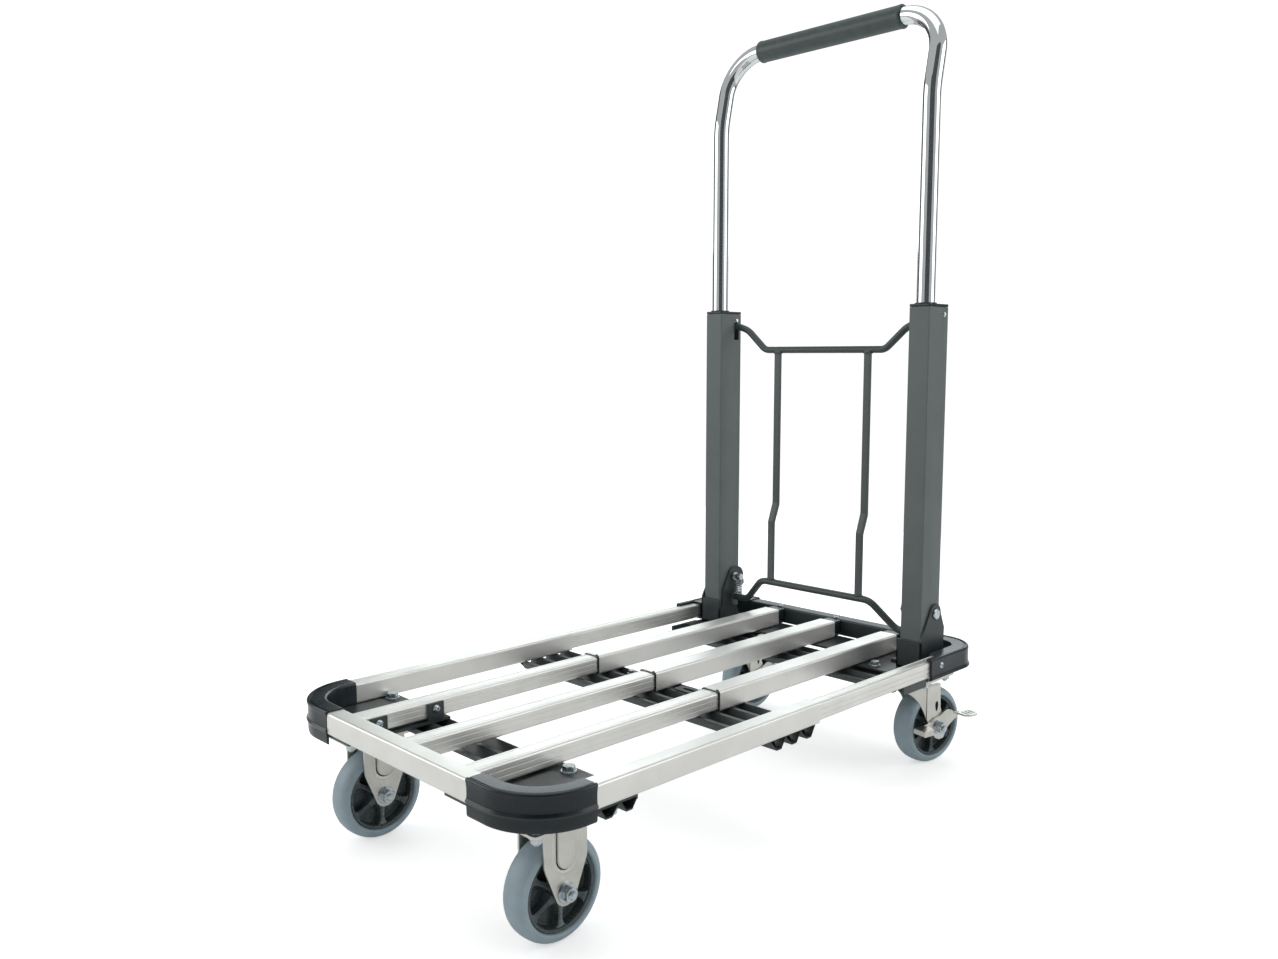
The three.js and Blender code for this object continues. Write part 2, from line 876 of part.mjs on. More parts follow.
function mirroredCorners(halfCorners) {
  const right = halfCorners.map(([x, y, z]) => new THREE.Vector3(x, y, z));
  const left = halfCorners.map(([x, y, z]) => new THREE.Vector3(-x, y, z)).reverse();
  return [...left, ...right];
}

function upperRod() {
  const corners = mirroredCorners([
    [97, upperRodY, upperRodMidZ],
    [128, upperRodY, upperRodEndZ - 6],
    [postCentreX - postWidth / 2 - 4, upperRodY, upperRodEndZ],
    [postCentreX - 5, upperRodY, upperRodEndZ],
  ]);
  return tubeThrough(roundedRoute(corners, 6), disc(rodDiameter / 2, 0, 0, 8));
}

function lowerRod() {
  const corners = mirroredCorners([
    [90, lowerRodMidY, lowerRodMidZ],
    [125, upperRodY, lowerRodEndZ],
    [cheekInner - 0.6, upperRodY, lowerRodEndZ],
  ]);
  return tubeThrough(roundedRoute(corners, 9), disc(rodDiameter / 2, 0, 0, 8));
}

function flatBar() {
  const back = upperRodY - 2;
  const front = lowerRodMidY - 0.5;
  const half = bar.y / 2;
  const top = upperRodMidZ;
  const outline = polygon([
    [back - half, top],
    [back - half, barJogTop],
    [front - half, barJogBottom],
    [front - half, lowerRodMidZ],
    [front + half, lowerRodMidZ],
    [front + half, barJogBottom - 2],
    [back + half, barJogTop - 2],
    [back + half, top],
  ]);
  return alongX(outline, barX - bar.x / 2, barX + bar.x / 2);
}

function releaseFrame() {
  const rightBar = flatBar();
  return join(upperRod(), lowerRod(), rightBar, mirrored(rightBar));
}

function returnSpring() {
  const x = cheekInner - seatGap - 7.4;
  const top = pivotZ - pinCollarRadius - springWire / 2 - seatGap;
  const bottom = lowerRodEndZ + rodDiameter / 2 + springWire / 2 + seatGap;
  const radius = (springDiameter - springWire) / 2;
  const steps = springTurns * 6;
  const points = [];
  for (let i = 0; i <= steps; i += 1) {
    const angle = (2 * Math.PI * i) / 6;
    const height = bottom + ((top - bottom) * i) / steps;
    const y = upperRodY - 1.5 + radius * Math.sin(angle);
    points.push(new THREE.Vector3(x + radius * Math.cos(angle), y, height));
  }
  return tubeThrough(points, disc(springWire / 2, 0, 0, 5));
}

// ---------------------------------------------------------------- wheels and casters

function tyre() {
  const seat = tyreSeatDiameter / 2 + seatGap;
  const half = tyreWidth / 2;
  const profile = [
    [seat, -half + 3],
    [wheelRadius - 4.6, -half],
    [wheelRadius - 1.6, -half + 2.2],
    [wheelRadius, -half + 8],
    [wheelRadius, half - 8],
    [wheelRadius - 1.6, half - 2.2],
    [wheelRadius - 4.6, half],
    [seat, half - 3],
    [seat, -half + 3],
  ];
  return revolveAboutX(profile, 32);
}

function hub() {
  const outer = tyreSeatDiameter / 2;
  const rimHalf = tyreWidth / 2 - 3;
  const web = hubWeb / 2;
  const boss = hubBossDiameter / 2;
  const bossHalf = hubWidth / 2;
  const bore = axleDiameter / 2 + seatGap;
  const profile = [
    [bore, -bossHalf],
    [boss - 2, -bossHalf],
    [boss, -web],
    [outer - rimWall, -web],
    [outer - rimWall, -rimHalf],
    [outer, -rimHalf],
    [outer, rimHalf],
    [outer - rimWall, rimHalf],
    [outer - rimWall, web],
    [boss, web],
    [boss - 2, bossHalf],
    [bore, bossHalf],
    [bore, -bossHalf],
  ];
  const wheel = revolveAboutX(profile, 24);
  const spokes = [];
  for (let i = 0; i < spokeCount; i += 1) {
    const spoke = box(
      [-rimHalf + 3, rimHalf - 3],
      [boss - 3, outer - rimWall + 1],
      [-spokeWidth / 2, spokeWidth / 2],
    );
    spokes.push(spoke.rotateX((2 * Math.PI * i) / spokeCount));
  }
  return join(wheel, ...spokes);
}

// The axle bolt: hex head on the inner end, nut and thread on the outer end.
function axle(nutFrom) {
  const radius = axleDiameter / 2;
  const headFrom = forkGap / 2 + forkSheet + seatGap;
  return join(
    alongX(disc(radius), -headFrom - 3, nutFrom + 9),
    alongX(hexagon(13), -headFrom - 5.3, -headFrom),
    alongX(hexagon(13), nutFrom, nutFrom + 6.5),
  );
}

function frontForkCheek() {
  const half = frontForkWidth / 2;
  const end = forkEndRadius;
  const shape = new THREE.Shape();
  shape.moveTo(-half, casterPlateTop - wheelRadius);
  shape.lineTo(-half, 0.56 * wheelRadius);
  shape.absarc(0, 0, end, THREE.MathUtils.degToRad(205), THREE.MathUtils.degToRad(335), false);
  shape.lineTo(half, 0.56 * wheelRadius);
  shape.lineTo(half, casterPlateTop - wheelRadius);
  shape.closePath();
  return shape;
}

// The pressed groove in a cheek: a narrow channel in the outline of a U.
function cheekGroove() {
  const outer = 10.5;
  const width = 2.6;
  const bottom = 32;
  const top = casterPlateBottom - wheelRadius - 2;
  const shape = new THREE.Shape();
  shape.moveTo(-outer, top);
  shape.absarc(0, bottom, outer, Math.PI, 2 * Math.PI, false);
  shape.lineTo(outer, top);
  shape.lineTo(outer - width, top);
  shape.absarc(0, bottom, outer - width, 2 * Math.PI, Math.PI, true);
  shape.lineTo(-outer + width, top);
  shape.closePath();
  return shape;
}

// A rigid fork about the wheel's centre: top plate and two cheeks.
function frontFork() {
  const inner = forkGap / 2;
  const outer = inner + forkSheet;
  const plate = box(
    [-frontPlate.x / 2, frontPlate.x / 2],
    [-frontPlate.y / 2, frontPlate.y / 2],
    [casterPlateBottom - wheelRadius, casterPlateTop - wheelRadius],
  );
  const cheek = frontForkCheek();
  const groove = cheekGroove();
  const body = join(plate, alongX(cheek, inner, outer), alongX(cheek, -outer, -inner));
  return cut(
    body,
    alongX(disc(axleDiameter / 2 + seatGap), -outer - 1, outer + 1),
    alongX(groove, outer - 0.9, outer + 1, 5),
    alongX(groove, -outer - 1, -outer + 0.9, 5),
  );
}

// Fixed to the deck: top plate, upper bearing ring and the kingpin with its riveted end.
function rearCasterPlate() {
  const plate = box(
    [-rearPlate.x / 2, rearPlate.x / 2],
    [-rearPlate.y / 2, rearPlate.y / 2],
    [casterPlateBottom, casterPlateTop],
  );
  const pin = kingpinDiameter / 2;
  const crownBottom = crownTop - forkSheet;
  const turned = revolveAboutZ(
    [
      [0, crownBottom - 7],
      [pin + 3, crownBottom - 7],
      [pin + 3, crownBottom - 1],
      [pin, crownBottom - 1],
      [pin, crownTop + 7.5],
      [raceDiameter / 2 - 3, crownTop + 7.5],
      [raceDiameter / 2, crownTop + 9],
      [raceDiameter / 2, casterPlateBottom + 1],
      [0, casterPlateBottom + 1],
    ],
    24,
  );
  return join(plate, turned);
}

// The swivelling fork about the kingpin axis; the axle sits one trail length behind it.
function rearFork() {
  const inner = forkGap / 2;
  const outer = inner + forkSheet;
  const front = -19;
  const cheek = new THREE.Shape();
  cheek.moveTo(front, crownTop);
  cheek.lineTo(front, crownTop - 9);
  cheek.absarc(
    casterTrail,
    wheelRadius,
    forkEndRadius,
    THREE.MathUtils.degToRad(200),
    THREE.MathUtils.degToRad(360),
    false,
  );
  cheek.lineTo(32, crownTop);
  cheek.closePath();
  const crown = box([-outer, outer], [front, 32], [crownTop - forkSheet, crownTop]);
  const dish = revolveAboutZ(
    [
      [0, crownTop - 1],
      [raceDiameter / 2 - 2, crownTop - 1],
      [raceDiameter / 2 - 2, crownTop + 4],
      [raceDiameter / 2 - 7, crownTop + 6.8],
      [0, crownTop + 6.8],
    ],
    24,
  );
  const body = join(
    crown,
    dish,
    alongX(cheek, inner, outer),
    alongX(cheek, -outer, -inner),
  );
  return cut(
    body,
    alongZ(disc(kingpinDiameter / 2 + seatGap), crownTop - 20, crownTop + 20),
    alongX(disc(axleDiameter / 2 + seatGap, casterTrail, wheelRadius), -outer - 1, outer + 1),
  );
}

// The brake lever rocks on the axle: a flat rocker with a tread turned out at each end.
function brakeLever() {
  const from = forkGap / 2 + forkSheet + seatGap;
  const to = from + forkSheet;
  const y = casterTrail;
  const z = wheelRadius;
  const rocker = new THREE.Shape();
  rocker.moveTo(y + 48, z + 13);
  rocker.lineTo(y + 14, z + 19);
  rocker.lineTo(y + 2, z + 14);
  rocker.lineTo(y - 12, z + 7);
  rocker.lineTo(y - 36, z + 3);
  rocker.lineTo(y - 36, z - 3);
  rocker.lineTo(y - 10, z - 8);
  rocker.absarc(y, z, 13, THREE.MathUtils.degToRad(220), THREE.MathUtils.degToRad(315), false);
  rocker.lineTo(y + 22, z - 2);
  rocker.lineTo(y + 48, z + 8);
  rocker.closePath();
  const rearTread = box([from, to + 17], [y + 45, y + 71], [z + 9, z + 9 + forkSheet]);
  const frontTread = box([from, to + 17], [y - 56, y - 34], [z + 0.5, z + 0.5 + forkSheet]);
  const frontLip = box([to + 15, to + 17], [y - 56, y - 34], [z - 4, z + 1]);
  const body = join(alongX(rocker, from, to), rearTread, frontTread, frontLip);
  return cut(body, alongX(disc(axleDiameter / 2 + seatGap, y, z), from - 1, to + 1));
}

// ---------------------------------------------------------------- assembly

function addRearDeck(cart) {
  addPiece(cart, "rear_beam", beam(rearBeamHalf, rearBeamStart), blackPaintedSteel());
  addPair(cart, "rear_corner", rearCorner(), blackPlastic);
  const railFrom = rearRailStart;
  const railTo = rearCoverFull - seatGap;
  const rail = groovedTube(slimRail.width, slimRail.height, sideRailX, railFrom, railTo);
  addPair(cart, "rear_side_rail", rail, anodisedAluminium);
  const columns = { left: -wideTubePitch, middle: 0, right: wideTubePitch };
  for (const [place, x] of Object.entries(columns)) {
    const tube = plainTube(wideTubeWidth, railHeight, x, wideTubeStart, wideTubeEnd);
    addPiece(cart, `rear_tube_${place}`, tube, anodisedAluminium());
    addPiece(cart, `rear_tube_plug_${place}`, tubePlug(x), blackPlastic());
  }
  addPiece(cart, "mid_crossmember", crossMember(midMember, floorTop, midMemberDepth), blackPaintedSteel());
  addPiece(cart, "rear_crossmember", crossMember(rearMember, memberTop, memberDepth), blackPaintedSteel());
  addPiece(cart, "rear_floor_plate", rearFloorPlate(), blackPaintedSteel());
  addPair(cart, "pivot_bracket", pivotBracket(), blackPaintedSteel);
  addPair(cart, "pivot_pin", pivotPin(), zincPlatedSteel);
}

function addFrontDeck(cart) {
  addPiece(cart, "front_beam", beam(frontBeamHalf, 0), anodisedAluminium());
  addPair(cart, "front_corner", frontCorner(), blackPlastic);
  const rail = plainTube(sideRailWidth, railHeight, sideRailX, frontRailStart, frontRailEnd);
  addPair(cart, "front_side_rail", rail, anodisedAluminium);
  const columns = { left: -wideTubePitch, middle: 0, right: wideTubePitch };
  for (const [place, x] of Object.entries(columns)) {
    const tube = groovedTube(slimTube.width, slimTube.height, x, beamDepth + seatGap, slimTubeEnd);
    addPiece(cart, `front_tube_${place}`, tube, anodisedAluminium());
  }
  const member = crossMember(frontMember, memberTop, memberDepth);
  addPiece(cart, "front_crossmember", member, blackPaintedSteel());
  addPair(cart, "front_floor_plate", frontFloorPlate(), blackPaintedSteel);
}

function addFrontCasters(cart) {
  for (const [place, side] of [["right", 1], ["left", -1]]) {
    const caster = new THREE.Group();
    caster.position.set(side * frontWheelX, frontWheelY, wheelRadius);
    addPiece(caster, `front_fork_${place}`, frontFork(), zincPlatedSteel());
    const nutFrom = forkGap / 2 + forkSheet + seatGap;
    addPiece(caster, `front_axle_${place}`, axle(nutFrom), zincPlatedSteel());
    addPiece(caster, `front_tyre_${place}`, tyre(), greyRubber());
    addPiece(caster, `front_hub_${place}`, hub(), blackPlastic());
    cart.add(caster);
  }
}

function addRearCasters(cart) {
  for (const [place, side] of [["right", 1], ["left", -1]]) {
    const plate = rearCasterPlate().translate(side * rearCasterX, rearCasterY, 0);
    addPiece(cart, `rear_caster_plate_${place}`, plate, zincPlatedSteel());
    const swivel = new THREE.Group();
    swivel.position.set(side * rearCasterX, rearCasterY, 0);
    swivel.rotation.z = THREE.MathUtils.degToRad(swivelAtRest[place]);
    addPiece(swivel, `rear_fork_${place}`, rearFork(), zincPlatedSteel());
    addPiece(swivel, `brake_lever_${place}`, brakeLever(), zincPlatedSteel());
    const wheel = new THREE.Group();
    wheel.position.set(0, casterTrail, wheelRadius);
    const nutFrom = forkGap / 2 + 2 * forkSheet + 2 * seatGap;
    addPiece(wheel, `rear_axle_${place}`, axle(nutFrom), zincPlatedSteel());
    addPiece(wheel, `rear_tyre_${place}`, tyre(), greyRubber());
    addPiece(wheel, `rear_hub_${place}`, hub(), blackPlastic());
    swivel.add(wheel);
    cart.add(swivel);
  }
}

function addHandle(cart) {
  addPair(cart, "handle_post", post(), paintedPostSteel);
  addPair(cart, "post_cap", postCap(), blackPlastic);
  addPair(cart, "post_rivet", postRivet(), zincPlatedSteel);
  addPiece(cart, "handle_tube", handleTube(), chromePlatedSteel());
  addPiece(cart, "grip", grip(), foamGrip());
  addPiece(cart, "release_frame", releaseFrame(), blackPaintedSteel());
  addPair(cart, "return_spring", returnSpring(), zincPlatedSteel);
}

const model = new THREE.Group();
addRearDeck(model);
addFrontDeck(model);
addFrontCasters(model);
addRearCasters(model);
addHandle(model);

// The origin lies under the middle of the whole box, on the ground.
const extent = new THREE.Box3().setFromObject(model, true);
const middle = extent.getCenter(new THREE.Vector3());
model.position.set(-middle.x, -middle.y, -extent.min.z);

const cart = new THREE.Group();
cart.add(model);

export default cart;
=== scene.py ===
"""Looks of a folding platform cart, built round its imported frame.

Lengths are in millimetres. On the cart, x is counted from the middle, y from the front face of
the front beam and z from the ground; each finished mesh is turned to metres in the row frame.
"""

import json
import logging
import math
from dataclasses import dataclass, field, replace
from enum import Enum
from typing import Any, Iterable, Optional, Sequence

import bmesh
import bpy
from mathutils import Matrix, Vector

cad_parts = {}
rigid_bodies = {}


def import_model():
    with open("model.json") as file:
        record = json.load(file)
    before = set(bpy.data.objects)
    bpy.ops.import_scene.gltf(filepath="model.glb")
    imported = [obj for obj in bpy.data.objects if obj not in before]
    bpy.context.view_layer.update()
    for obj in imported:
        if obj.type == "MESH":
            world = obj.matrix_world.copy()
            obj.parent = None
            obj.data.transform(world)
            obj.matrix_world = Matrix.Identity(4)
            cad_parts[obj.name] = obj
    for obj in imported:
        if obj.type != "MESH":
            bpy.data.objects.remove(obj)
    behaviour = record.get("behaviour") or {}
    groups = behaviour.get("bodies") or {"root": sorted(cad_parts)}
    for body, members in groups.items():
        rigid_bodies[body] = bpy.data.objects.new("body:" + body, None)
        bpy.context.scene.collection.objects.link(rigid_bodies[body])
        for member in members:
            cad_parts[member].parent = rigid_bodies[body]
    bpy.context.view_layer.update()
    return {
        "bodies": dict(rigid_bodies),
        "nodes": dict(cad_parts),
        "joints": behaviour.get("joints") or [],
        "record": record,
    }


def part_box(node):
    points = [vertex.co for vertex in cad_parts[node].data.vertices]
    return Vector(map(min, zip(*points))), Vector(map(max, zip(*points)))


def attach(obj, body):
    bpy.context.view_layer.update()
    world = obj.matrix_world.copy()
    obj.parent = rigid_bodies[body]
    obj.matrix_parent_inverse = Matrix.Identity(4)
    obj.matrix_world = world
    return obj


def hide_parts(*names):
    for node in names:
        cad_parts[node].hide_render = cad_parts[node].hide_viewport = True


LOG = logging.getLogger("cart")

MM = 0.001
FILLET_SHARE = 1 / 2.05
NEARLY_STRAIGHT = math.radians(89)

Point2 = tuple[float, float]
Outline = list[Point2]


# ---------------------------------------------------------------- choices


class Side(Enum):
    """One side of the cart, as the sign of its x."""

    RIGHT = 1
    LEFT = -1

    @property
    def word(self) -> str:
        """The side's word in node and body names."""
        return self.name.lower()


class Axis(Enum):
    """An axis that an outline is run along."""

    X = "x"
    Y = "y"
    Z = "z"

    @property
    def matrix(self) -> Matrix:
        """Turns (first, second, along) into (x, y, z); Y takes its outlines as (z, x)."""
        columns = {
            Axis.X: ((0, 0, 1), (1, 0, 0), (0, 1, 0)),
            Axis.Y: ((0, 1, 0), (0, 0, 1), (1, 0, 0)),
            Axis.Z: ((1, 0, 0), (0, 1, 0), (0, 0, 1)),
        }[self]
        return Matrix(columns).to_4x4()


# ---------------------------------------------------------------- outlines


def arc(centre: Point2, radius: float, start: float, end: float, steps: int) -> Outline:
    """Points on an arc, both ends included.

    Args:
        centre: the arc's centre.
        radius: its radius.
        start: the first point's angle, in degrees.
        end: the last point's angle, in degrees.
        steps: how many chords the arc has.

    Returns:
        The points in order.
    """
    points = []
    for i in range(steps + 1):
        angle = math.radians(start + (end - start) * i / steps)
        points.append((centre[0] + radius * math.cos(angle), centre[1] + radius * math.sin(angle)))
    return points


def circle(radius: float, centre: Point2 = (0.0, 0.0), steps: int = 48) -> Outline:
    """A full circle as a closed outline."""
    return arc(centre, radius, 0.0, 360.0, steps)[:-1]


def shifted(points: Iterable[Point2], across: float, up: float) -> Outline:
    """An outline moved by the same step at every point."""
    return [(across + u, up + v) for u, v in points]


def bent(start: Vector, corner: Vector, end: Vector, steps: int) -> list[Vector]:
    """Points on a smooth bend that leaves start and reaches end as if by way of the corner."""
    points = []
    for i in range(steps + 1):
        t = i / steps
        points.append(start * (1 - t) ** 2 + corner * 2 * t * (1 - t) + end * t**2)
    return points


def outward(facing: int, near: float, far: float) -> Point2:
    """Two distances from the middle as (low, high), on the side that facing gives."""
    return (near, far) if facing > 0 else (-far, -near)


def filleted(corners: Sequence[tuple[float, float, float]], steps: int = 6) -> Outline:
    """A closed outline whose corners are rounded.

    Args:
        corners: (first, second, radius) of each corner, in order round the outline.
        steps: chords in each rounded corner.

    Returns:
        The outline's points.
    """
    points: Outline = []
    count = len(corners)
    for i, (u, v, radius) in enumerate(corners):
        here = Vector((u, v))
        before = Vector(corners[i - 1][:2]) - here
        after = Vector(corners[(i + 1) % count][:2]) - here
        room = min(before.length, after.length) * FILLET_SHARE
        before.normalize()
        after.normalize()
        half = before.angle(after) / 2
        if radius <= 0 or half > NEARLY_STRAIGHT:
            points.append((u, v))
            continue
        reach = min(radius / math.tan(half), room)
        for point in bent(here + before * reach, here, here + after * reach, steps):
            points.append((point.x, point.y))
    return points


def rounded_rectangle(u: Point2, v: Point2, radius: float, steps: int = 6) -> Outline:
    """A rectangle from u[0], v[0] to u[1], v[1] with rounded corners."""
    corners = [(u[0], v[0]), (u[1], v[0]), (u[1], v[1]), (u[0], v[1])]
    return filleted([(a, b, radius) for a, b in corners], steps)


# ---------------------------------------------------------------- meshes


def axis_matrix(origin: Sequence[float], direction: Sequence[float]) -> Matrix:
    """A placement whose own z points along direction from origin.

    Args:
        origin: where the placement starts.
        direction: where its z axis points.

    Returns:
        The placement as a matrix.
    """
    turn = Vector((0, 0, 1)).rotation_difference(Vector(direction).normalized())
    return Matrix.Translation(Vector(origin)) @ turn.to_matrix().to_4x4()


def turns(steps: int) -> list[float]:
    """Evenly spaced angles once round, in radians."""
    return [2 * math.pi * i / steps for i in range(steps)]


def hexagon_radius(angle: float, across: float) -> float:
    """Radius of a hexagon's edge at an angle, for its width across flats."""
    local = angle % (math.pi / 3) - math.pi / 6
    return across / 2 / math.cos(local)


class Form:
    """A closed mesh under construction, in millimetres on the cart."""

    def __init__(self) -> None:
        """Starts an empty form."""
        self.mesh = bmesh.new()

    def add_rings(self, rings: Iterable[Sequence[Vector]], loop: bool = False) -> "Form":
        """Skins a row of rings that have the same number of points.

        Args:
            rings: the rings in order.
            loop: whether the last ring joins the first; otherwise both ends are closed.

        Returns:
            This form.
        """
        rows = [[self.mesh.verts.new(point) for point in ring] for ring in rings]
        pairs = list(zip(rows, rows[1:]))
        if loop:
            pairs.append((rows[-1], rows[0]))
        for low, high in pairs:
            for i, corner in enumerate(low):
                j = (i + 1) % len(low)
                self.mesh.faces.new((corner, low[j], high[j], high[i]))
        if not loop:
            self.mesh.faces.new(list(reversed(rows[0])))
            self.mesh.faces.new(rows[-1])
        return self

    def lathe(
        self, profile: Sequence[Point2], place: Matrix, loop: bool = False, segments: int = 64
    ) -> "Form":
        """Turns a profile about a placement's z axis.

        Args:
            profile: (radius, height) points; a loop closes on itself.
            place: where the axis is.
            loop: whether the profile is a closed ring section.
            segments: flats round the axis.

        Returns:
            This form.
        """
        rings = []
        for radius, height in profile:
            ring = [place @ Vector((u, v, height)) for u, v in circle(radius, steps=segments)]
            rings.append(ring)
        return self.add_rings(rings, loop)

    def sweep(self, path: Sequence[Vector], section: Outline, side: Sequence[float]) -> "Form":
        """Runs a section along a path with no twist.

        Args:
            path: the centre line.
            section: the closed section, in (side, other) directions.
            side: the section's first direction at the start.

        Returns:
            This form.
        """
        rings = []
        across = Vector(side)
        last = len(path) - 1
        for i, here in enumerate(path):
            arriving = (here - path[max(i - 1, 0)]).normalized()
            leaving = (path[min(i + 1, last)] - here).normalized()
            tangent = (arriving + leaving).normalized()
            across = (across - tangent * across.dot(tangent)).normalized()
            other = tangent.cross(across)
            rings.append([here + across * u + other * v for u, v in section])
        return self.add_rings(rings)

    def plate(
        self,
        outlines: Sequence[Outline],
        low: float,
        high: float,
        axis: Axis,
        edge: float = 0.4,
        place: Optional[Matrix] = None,
    ) -> "Form":
        """Adds a plate or extrusion with rounded edges and any holes.

        Args:
            outlines: the outer outline and then the holes.
            low: where it starts along the axis.
            high: where it ends.
            axis: the axis that it is run along.
            edge: radius of its rounded edges.
            place: a further placement.

        Returns:
            This form.
        """
        curve = bpy.data.curves.new("outline", "CURVE")
        curve.dimensions = "2D"
        curve.fill_mode = "BOTH"
        edge = min(edge, (high - low) * 0.45)
        curve.extrude = (high - low) / 2 - edge
        curve.bevel_depth = edge
        curve.bevel_resolution = 1
        curve.offset = -edge
        for outline in outlines:
            points = [(v, u) for u, v in outline] if axis is Axis.Y else outline
            spline = curve.splines.new("POLY")
            spline.points.add(len(points) - 1)
            for target, (u, v) in zip(spline.points, points):
                target.co = (u, v, 0.0, 1.0)
            spline.use_cyclic_u = True
        holder = bpy.data.objects.new("outline", curve)
        mesh = bpy.data.meshes.new_from_object(holder)
        lift = Matrix.Translation((0, 0, (low + high) / 2))
        mesh.transform((place or Matrix.Identity(4)) @ axis.matrix @ lift)
        self.mesh.from_mesh(mesh)
        bpy.data.objects.remove(holder)
        bpy.data.curves.remove(curve)
        bpy.data.meshes.remove(mesh)
        return self

    def block(self, x: Point2, y: Point2, z: Point2, edge: float) -> "Form":
        """Adds a block with rounded edges all round."""
        outline = rounded_rectangle(x, y, edge, 3)
        return self.plate([outline], z[0], z[1], Axis.Z, edge * 0.8)

    def bar(self, path: Sequence[Vector], radius: float, steps: int, side: Sequence[float]) -> "Form":
        """Adds a round bar along a path."""
        return self.sweep(path, circle(radius, steps=steps), side)

    def hexagon(self, across: float, height: float, place: Matrix) -> "Form":
        """Adds a hexagon head or nut with chamfered corners, standing on its placement."""
        chamfer = across * 0.08
        rings = []
        for z, rounded in ((0.0, False), (height - chamfer, False), (height, True)):
            ring = []
            for angle in turns(48):
                radius = across / 2 if rounded else hexagon_radius(angle, across)
                ring.append(place @ Vector((radius * math.cos(angle), radius * math.sin(angle), z)))
            rings.append(ring)
        return self.add_rings(rings)

    def thread(self, diameter: float, low: float, high: float, place: Matrix) -> "Form":
        """Adds a threaded end as fine ridges with a chamfered tip."""
        pitch = diameter * 0.16
        depth = diameter * 0.05
        profile = [(diameter / 2 - depth, low)]
        height = low + pitch / 2
        while height < high - pitch:
            profile.append((diameter / 2, height))
            profile.append((diameter / 2 - depth, height + pitch / 2))
            height += pitch
        profile.append((diameter / 2 - depth, high - pitch * 0.8))
        profile.append((diameter / 2 - 2.4 * depth, high))
        return self.lathe(profile, place, segments=28)

    def take(self, other: "Form", place: Optional[Matrix] = None) -> "Form":
        """Adds a copy of another form, moved by a placement."""
        mesh = bpy.data.meshes.new("part")
        other.mesh.to_mesh(mesh)
        if place is not None:
            mesh.transform(place)
        self.mesh.from_mesh(mesh)
        bpy.data.meshes.remove(mesh)
        return self

    def mirrored(self) -> "Form":
        """The same form on the other side of the cart."""
        return Form().take(self, Matrix.Scale(-1, 4, (1, 0, 0)))

    def on_side(self, side: Side) -> "Form":
        """This form if side is the right, or its mirror image."""
        return self if side is Side.RIGHT else self.mirrored()


# ---------------------------------------------------------------- finishes


def linear(hex_colour: str) -> tuple[float, float, float, float]:
    """An sRGB hex colour as linear red, green, blue and alpha."""
    channels = []
    for i in (1, 3, 5):
        value = int(hex_colour[i : i + 2], 16) / 255
        channels.append(value / 12.92 if value <= 0.04045 else ((value + 0.055) / 1.055) ** 2.4)
    return (channels[0], channels[1], channels[2], 1.0)


def add_node(
    tree: bpy.types.NodeTree, kind: str, inputs: dict[Any, Any], **settings: Any
) -> bpy.types.Node:
    """Adds a node with its settings and links.

    Args:
        tree: the tree that takes the node.
        kind: the node's type.
        inputs: input names or numbers with values, or with sockets to link.
        settings: the node's own properties.

    Returns:
        The node.
    """
    made = tree.nodes.new(kind)
    for name, value in settings.items():
        setattr(made, name, value)
    for name, value in inputs.items():
        socket = made.inputs[name]
        if isinstance(value, bpy.types.NodeSocket):
            tree.links.new(value, socket)
        else:
            socket.default_value = value
    return made


def per_metre(size: float) -> float:
    """Texture scale that gives features of a size in millimetres."""
    return 1 / (size * MM)


